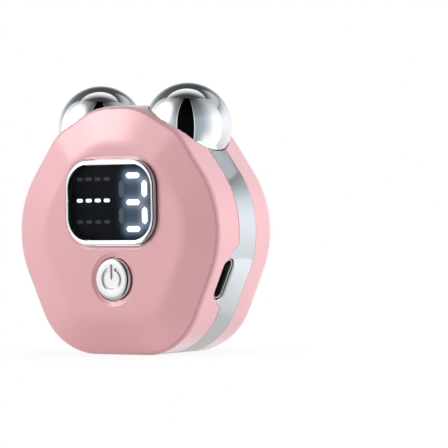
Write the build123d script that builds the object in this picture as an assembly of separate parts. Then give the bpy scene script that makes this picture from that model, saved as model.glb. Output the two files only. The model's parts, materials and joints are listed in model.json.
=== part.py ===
"""Palm-size facial toning device with two rolling ball electrodes.

The body is a pair of moulded shells joined by a plated band.  The flat face of the front
shell carries a framed display and a round push button; the right side of the band carries
a charging port.  Two polished balls turn on axles that lean outwards from an inner frame.

Frame: +Z up, the front faces -Y, X across.  The origin is the middle of the flat foot that
the device stands on, in the plane of the band.  Millimetres throughout.
"""
import os
from math import atan2, cos, radians, sin, sqrt, tan

from build123d import *

os.makedirs("parts", exist_ok=True)

# ---------------------------------------------------------------- body outline, front view
# Corners of the outline before they are rounded: half width and height of each.
FOOT_HALF = 16.3
WAIST_HALF = 29.1
WAIST_Z = 28.1
SHOULDER_HALF = 16.1
SHOULDER_DROP = 5.8        # height of the shoulder's corner, below the crown
CROWN_HALF = 5.7
BODY_HEIGHT = 52.2
FOOT_RADIUS = 15.0
WAIST_RADIUS = 21.0
SHOULDER_RADIUS = 9.5
CROWN_RADIUS = 16.8
FOOT_TRIM = 0.02           # taken off the rounded foot to make it flat
LEAST_CORNER = 0.6         # smallest rounding of an outline that is moved inwards

# ---------------------------------------------------------------- shells and band
FACE_DEPTH = 12.0          # flat faces, from the middle of the band
CREASE_DEPTH = 10.2        # edge between side wall and sloping border
BORDER_WIDTH = 7.8         # sloping border between that edge and the flat face
BAND_HALF = 3.05           # half the width of the plated band
SIDE_DRAFT = 0.3           # how much the side walls widen towards the band
WALL = 1.6
FRONT_CREASE_RADIUS = 1.1
REAR_CREASE_RADIUS = 2.8
CREASE_STEPS = 5           # flats that make up the rounded edge
FACE_EDGE_RADIUS = 9.0
LIP_WALL = 0.8             # locating lips that plug into the band
LIP_REACH = 1.5
FIT = 0.05                 # clearance between fixed parts that plug together

# ---------------------------------------------------------------- balls and their axles
BALL_RADIUS = 9.25
BALL_X = 11.4
BALL_DROP = 4.5            # height of the balls' centres, below the crown
BALL_LEAN = 25.0           # degrees between each axle and the vertical
BALL_GAP = 0.4             # between a ball and its seat
CUP_WALL = 0.8
BUSH_RADIUS = 3.0
BUSH_SUNK = 0.45           # end of the bush, inside the ball's skin
BUSH_TOP = 1.8             # other end, past the ball's centre
AXLE_RADIUS = 1.5
AXLE_RUNNING_GAP = 0.03
STUD_RADIUS = 1.2          # lower, threaded end of the axle
COLLAR_RADIUS = 2.4
COLLAR_THICK = 0.6
COLLAR_GAP = 0.15          # between the socket and the collar
HEATER_RADIUS = 2.45
HEATER_THICK = 1.8
BOSS_RADIUS = 3.0
BOSS_LENGTH = 3.2
TERMINAL_THICK = 0.5
NUT_FLATS = 3.9
NUT_THICK = 1.8
CLIP_RADIUS = 2.6
CLIP_THICK = 0.5
CLIP_GAP = 0.25            # between the bush and the clip
AXLE_END = 0.6             # axle past the clip
BORE_SPARE = 0.8           # bore past the axle
STUD_SPARE = 0.5           # stud past the nut
GROOVE_RADIUS = 1.1

# ---------------------------------------------------------------- display
DISPLAY_Z = 32.0
BEZEL_WIDTH = 22.9
BEZEL_HEIGHT = 17.9
BEZEL_CORNER = 5.8
BEZEL_PROUD = 1.0
BEZEL_RIM = 0.95           # width of the frame seen from the front
BEZEL_EDGE_RADIUS = 0.35
BEZEL_FLANGE = 0.75        # how far the hidden flange reaches past the opening
FLANGE_THICK = 0.8
LENS_THICK = 1.0
LENS_EDGE_RADIUS = 0.2
LENS_RECESS = 0.6
LENS_LEDGE = 0.6
REFLECTOR_DEPTH = 4.0
GUIDE_THICK = 1.0
DIGIT_X = 5.4              # middle of the seven-segment digit, from the display's middle
DIGIT_HALF = 3.0           # from its middle to the upright strokes
STROKE_RISE = 5.7          # from its middle to the top and bottom strokes
STROKE_LONG = 3.8
STROKE_WIDE = 1.45
BAR_X = -4.9               # middle of the mode bars
BAR_RISE = 4.4
BAR_LONG = 8.6
BAR_DASHES = 4
BAR_DASH = 1.5
BAR_WIDE = 0.8
DISPLAY_BOARD_MARGIN = 1.8 # board past its screws, sideways
DISPLAY_BOARD_HEIGHT = 15.8
DISPLAY_BOARD_DROP = 0.9   # its middle, below the display's middle
BOARD_THICK = 0.8
LED_LONG = 1.0
LED_WIDE = 0.6
LED_THICK = 0.5
HEADER_LONG = 10.0         # pin header that joins the two boards
HEADER_THICK = 2.0
DISPLAY_SCREW_OUT = 2.75   # screws past the frame's sides
DISPLAY_SCREW_RISE = 5.4

# ---------------------------------------------------------------- push button
BUTTON_Z = 15.9
BUTTON_RADIUS = 4.4
BUTTON_GAP = 0.15
BUTTON_PROUD = 0.55
BUTTON_FLANGE_RADIUS = 5.2
BUTTON_FLANGE_THICK = 0.8
BUTTON_TRAVEL = 0.5
BUTTON_EDGE_RADIUS = 0.35
STEM_RADIUS = 1.2
SYMBOL_RADIUS = 2.55       # engraved power symbol
SYMBOL_LINE = 0.55
SYMBOL_DEPTH = 0.25
SYMBOL_GAP = 2.2           # opening at the top of the symbol's ring
SYMBOL_BAR = 2.9
SYMBOL_BAR_FOOT = 0.2      # lower end of its bar, above the middle
SWITCH_SIDE = 6.0
SWITCH_HEIGHT = 3.5
PLUNGER_RADIUS = 1.75
PLUNGER_GAP = 0.08
PLUNGER_PROUD = 1.2
PLUNGER_SUNK = 2.0

# ---------------------------------------------------------------- charging port
PORT_Z = 15.7
PORT_DEPTH = 5.2           # from the middle of the band towards the front
PORT_LONG = 8.94
PORT_THICK = 3.2
PORT_METAL = 0.3
PORT_LENGTH = 7.35
PORT_RECESS = 0.35
PORT_BACK = 0.8            # wall at the port's inner end
PORT_GAP = 0.22            # between the receptacle and its opening
TAB_ABOVE = 6.2            # tab of the band round the rear half of the port: its reach above
TAB_BELOW = 5.3            # the port's middle, its reach below, and the slant of its ends
TAB_SLANT = 1.1
PORT_TONGUE_THICK = 0.7
PORT_TONGUE_WIDE = 6.7
PORT_TONGUE_LENGTH = 5.2
CONTACT_COUNT = 12
CONTACT_PITCH = 0.5
CONTACT_WIDE = 0.28
CONTACT_THICK = 0.08
CONTACT_START = 0.4        # root end of the contacts, past the port's inner wall
CONTACT_LONG = 4.4

# ---------------------------------------------------------------- inside
MAIN_BOARD_THICK = 1.0
MAIN_BOARD_TOP = 26.0
MAIN_BOARD_INSET = 3.4
FRAME_FRONT = 1.0          # front face of the frame plate, ahead of the band's middle
FRAME_THICK = 1.6
FRAME_INSET = 2.2
FRAME_RISE = 1.082         # how far the plate reaches above the top of the axle bosses
BATTERY_WIDTH = 28.0
BATTERY_HEIGHT = 18.5
BATTERY_THICK = 6.0
BATTERY_Z = 17.0
BATTERY_START = 1.2        # front face of the cell
SCREW_RADIUS = 0.8
SCREW_HEAD_RADIUS = 1.5
SCREW_HEAD_THICK = 0.8
DRIVE_LONG = 1.8           # cross recess in a screw's head
DRIVE_WIDE = 0.35
DRIVE_DEEP = 0.4
FRAME_SCREW_LENGTH = 5.0
BOARD_SCREW_LENGTH = 3.4
SCREW_HOLE_GAP = 0.02
POST_RADIUS = 1.9
BOARD_SCREWS = ((-10.5, 20.0), (9.0, 20.6), (-13.8, 7.6), (13.8, 7.6))
FRAME_SCREWS = ((-19.0, 29.5), (19.0, 29.5), (-9.0, 4.7), (9.0, 4.7))
LEAD_RADIUS = 0.45
WIRE_SLOT_Z = 28.6         # opening in the frame plate that the wires pass through
WIRE_SLOT_LONG = 20.0
WIRE_SLOT_WIDE = 3.6
TERMINAL_RADIUS = 2.3      # ring terminal and its solder tab
TAB_REACH = 4.8
TAB_WIDE = 1.6
PAD_SHARE = 0.7            # size of the foam pad, as a share of the cell's

# ---------------------------------------------------------------- derived places
SHOULDER_Z = BODY_HEIGHT - SHOULDER_DROP
BALL_Z = BODY_HEIGHT - BALL_DROP
BORDER_SLOPE = (FACE_DEPTH - CREASE_DEPTH) / BORDER_WIDTH
INNER_FACE = FACE_DEPTH - WALL
LEAN = (sin(radians(BALL_LEAN)), 0, cos(radians(BALL_LEAN)))
SEAT_RADIUS = BALL_RADIUS + BALL_GAP
CUP_RADIUS = SEAT_RADIUS + CUP_WALL
COLLAR_TOP = -(CUP_RADIUS + COLLAR_GAP)
HEATER_TOP = COLLAR_TOP - COLLAR_THICK
BOSS_TOP = HEATER_TOP - HEATER_THICK
BOSS_FOOT = BOSS_TOP - BOSS_LENGTH
FRAME_TOP = BALL_Z + BOSS_TOP * LEAN[2] + FRAME_RISE
NUT_TOP = BOSS_FOOT - TERMINAL_THICK
STUD_END = NUT_TOP - NUT_THICK - STUD_SPARE
BUSH_BOTTOM = -(BALL_RADIUS - BUSH_SUNK)
CLIP_BOTTOM = BUSH_TOP + CLIP_GAP
AXLE_TIP = CLIP_BOTTOM + CLIP_THICK + AXLE_END
BORE_TOP = AXLE_TIP + BORE_SPARE
DISPLAY_SCREW_X = BEZEL_WIDTH / 2 + DISPLAY_SCREW_OUT
DISPLAY_BOARD_WIDTH = 2 * (DISPLAY_SCREW_X + DISPLAY_BOARD_MARGIN)
BEZEL_FRONT = -(FACE_DEPTH + BEZEL_PROUD)
LENS_FRONT = BEZEL_FRONT + LENS_RECESS
LENS_BACK = LENS_FRONT + LENS_THICK
REFLECTOR_FRONT = LENS_BACK + FIT
DISPLAY_BOARD_FRONT = REFLECTOR_FRONT + REFLECTOR_DEPTH
MAIN_BOARD_FRONT = -(PORT_DEPTH - PORT_THICK / 2)
MAIN_BOARD_BACK = MAIN_BOARD_FRONT + MAIN_BOARD_THICK
FRAME_BACK = -FRAME_FRONT + FRAME_THICK
BUTTON_FRONT = -(FACE_DEPTH + BUTTON_PROUD)
FLANGE_FRONT = -(INNER_FACE - FIT)
FLANGE_BACK = FLANGE_FRONT + BUTTON_FLANGE_THICK
SWITCH_TOP = MAIN_BOARD_FRONT - SWITCH_HEIGHT
PLUNGER_TIP = SWITCH_TOP - PLUNGER_PROUD
PLUNGER_FOOT = SWITCH_TOP + PLUNGER_SUNK


WHOLE_VIEW = Rectangle(4 * WAIST_HALF, 4 * BODY_HEIGHT)    # covers the body from the front
ABOVE_GROUND = Pos(0, BODY_HEIGHT) * Rectangle(4 * WAIST_HALF, 2 * BODY_HEIGHT)


# ---------------------------------------------------------------- small tools
def at_depth(depth):
    """Front-view plane at a depth along Y: sketch x is X, sketch y is Z, its normal is -Y."""
    return Plane.XZ.offset(-depth)


def slab(sketch, front, back):
    """Solid of a front-view sketch between two depths."""
    return extrude(at_depth(back) * sketch, amount=back - front)


def round_box(width, height, corner):
    """Front-view rounded rectangle round the origin."""
    return RectangleRounded(width, height, corner)


def disc(x, z, radius):
    """Front-view disc."""
    return Pos(x, z) * Circle(radius)


def moved_corner(corner, before, after):
    """Corner of a polygon after the sides that meet there move inwards.

    before and after are each a side's outward normal and the distance that it moves.
    """
    (ax, az), a_move = before
    (bx, bz), b_move = after
    turn = ax * bz - az * bx
    return corner[0] + (b_move * az - a_move * bz) / turn, corner[1] + (a_move * bx - b_move * ax) / turn


def outline(inset=0.0):
    """Front-view outline of the body, moved inwards by inset.

    A negative inset widens it, but the foot stays at the ground.
    """
    corners = [
        (FOOT_HALF, -FOOT_TRIM),
        (WAIST_HALF, WAIST_Z),
        (SHOULDER_HALF, SHOULDER_Z),
        (CROWN_HALF, BODY_HEIGHT),
    ]
    sides = [((0, -1), max(inset, 0))]
    for (x0, z0), (x1, z1) in zip(corners, corners[1:]):
        long = sqrt((x1 - x0) ** 2 + (z1 - z0) ** 2)
        sides.append((((z1 - z0) / long, (x0 - x1) / long), inset))
    sides.append(((0, 1), inset))
    right = [moved_corner(c, a, b) for c, a, b in zip(corners, sides, sides[1:])]
    left = [(-x, z) for x, z in reversed(right)]
    radii = [max(r - inset, LEAST_CORNER) for r in (FOOT_RADIUS, WAIST_RADIUS, SHOULDER_RADIUS, CROWN_RADIUS)]
    return make_face(FilletPolyline(*right, *left, radius=radii + radii[::-1], close=True))


def half_body(profile, side):
    """Half of the body's mass, from its wall's profile: pairs of inset and depth.

    side is -1 for the front half and +1 for the rear half.
    """
    mass = loft([at_depth(side * depth) * outline(inset) for inset, depth in profile], ruled=True)
    return mass & slab(ABOVE_GROUND, -2 * FACE_DEPTH, 2 * FACE_DEPTH)


def outer_half(side, crease_radius):
    """Outer skin of one half: side wall, rounded edge, sloping border and flat face."""
    line = FilletPolyline((-SIDE_DRAFT, 0), (0, CREASE_DEPTH), (BORDER_WIDTH, FACE_DEPTH),
                          (2 * BORDER_WIDTH, FACE_DEPTH), radius=[crease_radius, FACE_EDGE_RADIUS])
    arcs = line.edges().filter_by(GeomType.CIRCLE).sort_by(Axis.X)
    profile = [(-SIDE_DRAFT, 0)]
    for arc, steps in zip(arcs, (CREASE_STEPS, 2)):
        profile += [((arc @ (i / steps)).X, (arc @ (i / steps)).Y) for i in range(steps + 1)]
    return half_body(profile, side)


def inner_half(side, extra=0.0):
    """Hollow inside one half, made smaller by extra."""
    wall = WALL + extra
    crease = CREASE_DEPTH - wall + BORDER_SLOPE * wall
    return half_body([(wall - SIDE_DRAFT, 0), (wall, crease), (BORDER_WIDTH, FACE_DEPTH - wall)], side)


def edges_at_depth(solid, depth):
    """Edges of a solid that lie wholly in one front-view plane."""
    return [e for e in solid.edges() if abs(e.bounding_box().min.Y - depth) < 0.01
            and abs(e.bounding_box().max.Y - depth) < 0.01]


def ball_place(side):
    """Ball centre with local Z along the axle, outwards."""
    return Plane((side * BALL_X, 0, BALL_Z), x_dir=(0, 1, 0), z_dir=(side * LEAN[0], 0, LEAN[2]))


def on_axle(side, outer, inner, low, high):
    """Ring on a ball's axle between two distances from the ball's centre."""
    ring = Circle(outer) - Circle(inner) if inner else Circle(outer)
    plane = ball_place(side)
    return extrude(plane.offset(low) * ring, amount=high - low)


def both_spheres(radius):
    """A pair of spheres at the ball centres."""
    return [Pos(side * BALL_X, 0, BALL_Z) * Sphere(radius) for side in (-1, 1)]


def port_plane():
    """Plane at the mouth of the port: local X along the slot, local Z outwards."""
    rise = atan2(WAIST_Z, WAIST_HALF - FOOT_HALF)
    along = (cos(rise), 0, sin(rise))
    outward = (sin(rise), 0, -cos(rise))
    wall_x = FOOT_HALF + PORT_Z / tan(rise) + SIDE_DRAFT / 2
    return Plane((wall_x, -PORT_DEPTH, PORT_Z), x_dir=along, z_dir=outward)


PORT = port_plane()


def port_slab(sketch, low, high):
    """Solid of a sketch at the port's mouth, between two distances outwards from it."""
    return extrude(PORT.offset(low) * sketch, amount=high - low)


def slot(long, thick):
    """Stadium outline of the port."""
    return SlotOverall(long, thick)


def screw(x, z, head_front, length, side=1):
    """Cross-head screw with its head's face at head_front, running towards +Y or -Y."""
    drive = Rectangle(DRIVE_LONG, DRIVE_WIDE) + Rectangle(DRIVE_WIDE, DRIVE_LONG)
    head = Cylinder(SCREW_HEAD_RADIUS, SCREW_HEAD_THICK, align=(Align.CENTER, Align.CENTER, Align.MAX))
    shank = Cylinder(SCREW_RADIUS, length, align=(Align.CENTER, Align.CENTER, Align.MAX))
    body = head + Pos(0, 0, -SCREW_HEAD_THICK) * shank - extrude(drive, amount=-DRIVE_DEEP)
    direction = Plane((x, head_front, z), x_dir=(1, 0, 0), z_dir=(0, -side, 0))
    return direction * body


def lead(points, radii):
    """Insulated wire along straight runs joined by arcs."""
    path = FilletPolyline(*points, radius=radii)
    start = Plane(path @ 0, z_dir=path % 0)
    return sweep(start * Circle(LEAD_RADIUS), path=path)


# ---------------------------------------------------------------- shells and band
def band_tab(extra=0.0):
    """Stretch of side wall that the band reaches forward over, round the rear half of the port."""
    slope = TAB_SLANT / (PORT_DEPTH - BAND_HALF)
    above, below = TAB_ABOVE + extra, TAB_BELOW + extra
    spread = slope * (PORT_DEPTH + extra)
    corners = [(-below, extra), (above, extra), (above + spread, -PORT_DEPTH), (-below - spread, -PORT_DEPTH)]
    block = port_slab(Polygon(*corners, align=None), -2 * WALL, 2 * WALL)
    return block & slab(WHOLE_VIEW, -(PORT_DEPTH + extra), -BAND_HALF + FIT)


def seat_cuts(solid):
    """Cut the round ball seats out of an outer part."""
    for ball in both_spheres(SEAT_RADIUS):
        solid -= ball
    return solid


def locating_lip(side):
    """Lip of a shell that plugs into the band, with the rib that carries it."""
    outer = outline(WALL + FIT)
    inner = outline(WALL + FIT + LIP_WALL)
    root = outline(WALL - 0.4)
    reach = slab(outer - inner, *sorted((side * (BAND_HALF - LIP_REACH), side * BAND_HALF)))
    rib = slab(root - inner, *sorted((side * BAND_HALF, side * (BAND_HALF + LIP_REACH))))
    lip = reach + rib
    for ball in both_spheres(CUP_RADIUS + FIT):
        lip -= ball
    return lip - port_clearance()


def port_clearance():
    """Room that the shells and band leave round the receptacle."""
    return port_slab(slot(PORT_LONG + 2 * PORT_GAP, PORT_THICK + 2 * PORT_GAP), -PORT_LENGTH - 1, 2)


def front_shell():
    depth = slab(WHOLE_VIEW, -2 * FACE_DEPTH, -BAND_HALF)
    wall = (outer_half(-1, FRONT_CREASE_RADIUS) - inner_half(-1)) & depth
    wall = seat_cuts(wall) - band_tab(FIT)
    shell = wall + (locating_lip(-1) - band_tab(FIT))
    for x, z in display_screw_places():
        shell += slab(disc(x, z, POST_RADIUS), -FACE_DEPTH, DISPLAY_BOARD_FRONT) & inner_half(-1, -WALL / 2)
        shell -= slab(disc(x, z, SCREW_RADIUS + SCREW_HOLE_GAP), -INNER_FACE + 0.2, DISPLAY_BOARD_FRONT)
    window = Pos(0, DISPLAY_Z) * round_box(BEZEL_WIDTH + 2 * FIT, BEZEL_HEIGHT + 2 * FIT, BEZEL_CORNER + FIT)
    shell -= slab(window, -2 * FACE_DEPTH, -INNER_FACE + 1)
    shell -= slab(disc(0, BUTTON_Z, BUTTON_RADIUS + BUTTON_GAP), -2 * FACE_DEPTH, -INNER_FACE + 1)
    return shell - port_clearance()


def rear_shell():
    depth = slab(WHOLE_VIEW, BAND_HALF, 2 * FACE_DEPTH)
    wall = (outer_half(1, REAR_CREASE_RADIUS) - inner_half(1)) & depth
    shell = seat_cuts(wall) + locating_lip(1)
    for x, z in FRAME_SCREWS:
        shell += slab(disc(x, z, POST_RADIUS), FRAME_BACK, FACE_DEPTH) & inner_half(1, -WALL / 2)
        shell -= slab(disc(x, z, SCREW_RADIUS + SCREW_HOLE_GAP), FRAME_BACK, FRAME_BACK + FRAME_SCREW_LENGTH)
    return shell


def ball_socket(side):
    """Round socket behind a ball that closes the body, trimmed to the hollow inside."""
    centre = Pos(side * BALL_X, 0, BALL_Z)
    cup = centre * Sphere(CUP_RADIUS) - centre * Sphere(SEAT_RADIUS)
    cup &= inner_half(-1, FIT) + inner_half(1, FIT)
    wall = inner_half(-1, -0.4) + inner_half(1, -0.4)
    rim = (centre * Sphere(CUP_RADIUS) - centre * Sphere(SEAT_RADIUS)) & wall
    cup += rim & slab(WHOLE_VIEW, -BAND_HALF + FIT / 2, BAND_HALF - FIT / 2)
    return cup - on_axle(side, COLLAR_RADIUS, 0, -CUP_RADIUS - 1, 0)


def mid_band():
    """Plated band with its port tab and both ball sockets, moulded as one."""
    depth = slab(WHOLE_VIEW, -BAND_HALF + FIT / 2, BAND_HALF - FIT / 2)
    side_wall = [(-SIDE_DRAFT, 0), (0, CREASE_DEPTH)]
    outer = half_body(side_wall, -1) + half_body(side_wall, 1)
    inner = inner_half(-1) + inner_half(1)
    wall = outer - inner
    band = seat_cuts((wall & depth) + (wall & band_tab())) - port_clearance()
    for side in (-1, 1):
        band += ball_socket(side)
    return band


# ---------------------------------------------------------------- display
def display_screw_places():
    return [(sx * DISPLAY_SCREW_X, DISPLAY_Z + sz * DISPLAY_SCREW_RISE) for sx in (-1, 1) for sz in (-1, 1)]


def display_outline(inset):
    """Outline of the display's frame, moved inwards."""
    return Pos(0, DISPLAY_Z) * round_box(BEZEL_WIDTH - 2 * inset, BEZEL_HEIGHT - 2 * inset,
                                         BEZEL_CORNER - inset)


def display_bezel():
    ring = slab(display_outline(0), BEZEL_FRONT, -INNER_FACE)
    ring = fillet(edges_at_depth(ring, BEZEL_FRONT), BEZEL_EDGE_RADIUS)
    ring += slab(display_outline(-BEZEL_FLANGE), -INNER_FACE, -INNER_FACE + FLANGE_THICK)
    ring -= slab(display_outline(BEZEL_RIM), BEZEL_FRONT - 1, LENS_BACK)
    return ring - slab(display_outline(BEZEL_RIM + LENS_LEDGE), BEZEL_FRONT - 1, 0)


def display_lens():
    lens = slab(display_outline(BEZEL_RIM + FIT), LENS_FRONT, LENS_BACK)
    return fillet(edges_at_depth(lens, LENS_FRONT), LENS_EDGE_RADIUS)


def stroke(x, z, long, wide):
    """One stroke of the digit or dash of a mode bar, with rounded ends."""
    sketch = SlotOverall(long, wide) if long > wide else Rot(0, 0, 90) * SlotOverall(wide, long)
    return Pos(x, DISPLAY_Z + z) * sketch


def lit_strokes():
    """Strokes that show the digit three."""
    bars = [stroke(DIGIT_X, z, STROKE_LONG, STROKE_WIDE) for z in (-STROKE_RISE, 0, STROKE_RISE)]
    uprights = [stroke(DIGIT_X + DIGIT_HALF, z, STROKE_WIDE, STROKE_LONG)
                for z in (-STROKE_RISE / 2, STROKE_RISE / 2)]
    return bars + uprights


def dim_strokes():
    """Strokes that stay dark while the digit shows three."""
    x = DIGIT_X - DIGIT_HALF
    return [stroke(x, z, STROKE_WIDE, STROKE_LONG) for z in (-STROKE_RISE / 2, STROKE_RISE / 2)]


def mode_dashes():
    """Three rows of short dashes, one row for each mode."""
    step = (BAR_LONG - BAR_DASH) / (BAR_DASHES - 1)
    return [stroke(BAR_X - BAR_LONG / 2 + BAR_DASH / 2 + i * step, row * BAR_RISE, BAR_DASH, BAR_WIDE)
            for row in (-1, 0, 1) for i in range(BAR_DASHES)]


def guides(strokes, inset):
    """Light guides: clear pads that fill their windows in the reflector."""
    return Compound(children=[slab(offset(s, amount=-inset), REFLECTOR_FRONT, REFLECTOR_FRONT + GUIDE_THICK)
                              for s in strokes])


def display_reflector():
    block = slab(display_outline(BEZEL_RIM + LENS_LEDGE + FIT), REFLECTOR_FRONT, DISPLAY_BOARD_FRONT)
    for window in lit_strokes() + dim_strokes() + mode_dashes():
        block -= slab(window, REFLECTOR_FRONT - 1, DISPLAY_BOARD_FRONT)
    return block


def display_board():
    blank = Pos(0, DISPLAY_Z - DISPLAY_BOARD_DROP) * Rectangle(DISPLAY_BOARD_WIDTH, DISPLAY_BOARD_HEIGHT)
    board = slab(blank, DISPLAY_BOARD_FRONT, DISPLAY_BOARD_FRONT + BOARD_THICK)
    for x, z in display_screw_places():
        board -= slab(disc(x, z, SCREW_RADIUS + SCREW_HOLE_GAP), DISPLAY_BOARD_FRONT - 1, 0)
    return board


def display_leds():
    chips = []
    for window in lit_strokes() + dim_strokes() + mode_dashes():
        chip = Pos(window.center().X, window.center().Y) * Rectangle(LED_LONG, LED_WIDE)
        chips.append(slab(chip, DISPLAY_BOARD_FRONT - LED_THICK, DISPLAY_BOARD_FRONT))
    return Compound(children=chips)


def display_screws():
    back = DISPLAY_BOARD_FRONT + BOARD_THICK
    head = back + SCREW_HEAD_THICK
    places = display_screw_places()
    return Compound(children=[screw(x, z, head, BOARD_SCREW_LENGTH, side=-1) for x, z in places])


def board_link_header():
    back = DISPLAY_BOARD_FRONT + BOARD_THICK
    low = DISPLAY_Z - DISPLAY_BOARD_DROP - DISPLAY_BOARD_HEIGHT / 2
    strip = Pos(0, (low + MAIN_BOARD_TOP) / 2) * Rectangle(HEADER_LONG, HEADER_THICK)
    return slab(strip, back, MAIN_BOARD_FRONT)


# ---------------------------------------------------------------- push button
def power_button():
    cap = slab(disc(0, BUTTON_Z, BUTTON_RADIUS), BUTTON_FRONT, FLANGE_FRONT)
    cap = fillet(edges_at_depth(cap, BUTTON_FRONT), BUTTON_EDGE_RADIUS)
    cap += slab(disc(0, BUTTON_Z, BUTTON_FLANGE_RADIUS), FLANGE_FRONT, FLANGE_BACK)
    cap += slab(disc(0, BUTTON_Z, STEM_RADIUS), FLANGE_BACK, PLUNGER_TIP)
    ring = Circle(SYMBOL_RADIUS) - Circle(SYMBOL_RADIUS - SYMBOL_LINE)
    ring -= Pos(0, SYMBOL_RADIUS) * Rectangle(SYMBOL_GAP, 2 * SYMBOL_RADIUS)
    bar = Pos(0, SYMBOL_BAR_FOOT + SYMBOL_BAR / 2) * Rectangle(SYMBOL_LINE, SYMBOL_BAR)
    return cap - slab(Pos(0, BUTTON_Z) * (ring + bar), BUTTON_FRONT - 1, BUTTON_FRONT + SYMBOL_DEPTH)


def switch_body():
    body = slab(Pos(0, BUTTON_Z) * Rectangle(SWITCH_SIDE, SWITCH_SIDE), SWITCH_TOP, MAIN_BOARD_FRONT)
    return body - slab(disc(0, BUTTON_Z, PLUNGER_RADIUS + PLUNGER_GAP), SWITCH_TOP - 1,
                       PLUNGER_FOOT + BUTTON_TRAVEL + 0.2)


def switch_plunger():
    return slab(disc(0, BUTTON_Z, PLUNGER_RADIUS), PLUNGER_TIP, PLUNGER_FOOT)


# ---------------------------------------------------------------- charging port
def port_shell():
    outer = port_slab(slot(PORT_LONG, PORT_THICK), -PORT_LENGTH, -PORT_RECESS)
    inner = slot(PORT_LONG - 2 * PORT_METAL, PORT_THICK - 2 * PORT_METAL)
    return outer - port_slab(inner, PORT_BACK - PORT_LENGTH, 1)


def port_tongue():
    low = PORT_BACK - PORT_LENGTH
    return port_slab(Rectangle(PORT_TONGUE_WIDE, PORT_TONGUE_THICK), low, low + PORT_TONGUE_LENGTH)


def port_contacts():
    """Two rows of flat contacts on the faces of the tongue."""
    low = PORT_BACK - PORT_LENGTH + CONTACT_START
    bars = []
    for i in range(CONTACT_COUNT):
        along = (i - (CONTACT_COUNT - 1) / 2) * CONTACT_PITCH
        for face in (-1, 1):
            across = face * (PORT_TONGUE_THICK + CONTACT_THICK) / 2
            bars.append(port_slab(Pos(along, across) * Rectangle(CONTACT_WIDE, CONTACT_THICK), low,
                                  low + CONTACT_LONG))
    return Compound(children=bars)


# ---------------------------------------------------------------- boards and battery
def front_view_clip(low, high, half):
    """Front-view rectangle used to trim plates to a height."""
    return Pos(0, (low + high) / 2) * Rectangle(2 * half, high - low)


def main_board():
    plate = outline(MAIN_BOARD_INSET) & front_view_clip(-1, MAIN_BOARD_TOP, WAIST_HALF)
    board = slab(plate, MAIN_BOARD_FRONT, MAIN_BOARD_BACK)
    for x, z in BOARD_SCREWS:
        board -= slab(disc(x, z, SCREW_RADIUS + SCREW_HOLE_GAP), MAIN_BOARD_FRONT - 1, MAIN_BOARD_BACK + 1)
    for x, z in FRAME_SCREWS[2:]:
        board -= slab(disc(x, z, SCREW_HEAD_RADIUS + 0.3), MAIN_BOARD_FRONT - 1, MAIN_BOARD_BACK + 1)
    return board


def board_screws():
    return Compound(children=[screw(x, z, MAIN_BOARD_FRONT - SCREW_HEAD_THICK, BOARD_SCREW_LENGTH)
                              for x, z in BOARD_SCREWS])


def board_part(x, z, width, height, thick):
    """Rectangular part on the front of the main board."""
    return slab(Pos(x, z) * Rectangle(width, height), MAIN_BOARD_FRONT - thick, MAIN_BOARD_FRONT)


def board_chips():
    return Compound(children=[board_part(-7.5, 13.5, 5, 5, 0.9), board_part(6.6, 12.4, 3.0, 3.0, 0.8),
                              board_part(-15.5, 18.5, 3.0, 4.0, 1.1)])


def pulse_transformer():
    return board_part(-1.2, 7.6, 6.4, 5.4, 4.0)


def board_capacitors():
    places = [(-12.5, 12.5), (-12.5, 15.0), (6.6, 16.6), (5.6, 8.2), (-6.9, 9.0), (-16.8, 13.4)]
    return Compound(children=[board_part(x, z, 1.6, 0.8, 0.8) for x, z in places])


def battery_connector():
    return board_part(-15.2, 22.0, 4.0, 3.0, 2.0)


def inner_frame():
    """Plate behind the main board with a boss for each axle."""
    plate = outline(FRAME_INSET) & front_view_clip(-1, FRAME_TOP, WAIST_HALF)
    plate -= Pos(0, WIRE_SLOT_Z) * RectangleRounded(WIRE_SLOT_LONG, WIRE_SLOT_WIDE, 1.0)
    for x, z in FRAME_SCREWS:
        plate -= disc(x, z, SCREW_RADIUS + SCREW_HOLE_GAP)
    frame = slab(plate, -FRAME_FRONT, FRAME_BACK)
    for x, z in BOARD_SCREWS:
        frame += slab(disc(x, z, POST_RADIUS), MAIN_BOARD_BACK, -FRAME_FRONT)
        frame -= slab(disc(x, z, SCREW_RADIUS + SCREW_HOLE_GAP), MAIN_BOARD_BACK, FRAME_BACK)
    for side in (-1, 1):
        frame -= on_axle(side, BOSS_RADIUS + 0.3, 0, STUD_END - 1.5, BOSS_FOOT)
        frame -= on_axle(side, BOSS_RADIUS + 0.3, 0, BOSS_TOP, 0)
    for side in (-1, 1):
        frame += on_axle(side, BOSS_RADIUS, 0, BOSS_FOOT, BOSS_TOP)
        frame -= on_axle(side, STUD_RADIUS, 0, BOSS_FOOT - 1, BOSS_TOP + 1)
    return frame


def frame_screws():
    head = -FRAME_FRONT - SCREW_HEAD_THICK
    return Compound(children=[screw(x, z, head, FRAME_SCREW_LENGTH) for x, z in FRAME_SCREWS])


def battery_cell():
    return slab(Pos(0, BATTERY_Z) * round_box(BATTERY_WIDTH, BATTERY_HEIGHT, 1.0), BATTERY_START,
                BATTERY_START + BATTERY_THICK)


def battery_foam_pad():
    front = BATTERY_START + BATTERY_THICK
    return slab(Pos(0, BATTERY_Z) * Rectangle(PAD_SHARE * BATTERY_WIDTH, PAD_SHARE * BATTERY_HEIGHT),
                front, INNER_FACE)


def battery_leads():
    top = BATTERY_Z + BATTERY_HEIGHT / 2
    wires = []
    for x in (-8.0, -6.4):
        points = [(x, 3.0, top), (x, 3.0, WIRE_SLOT_Z), (x, -4.6, WIRE_SLOT_Z), (x - 7.9, -4.6, WIRE_SLOT_Z),
                  (x - 7.9, -4.6, 23.5)]
        wires.append(lead(points, [0.9, 1.4, 1.4]))
    return Compound(children=wires)


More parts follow.
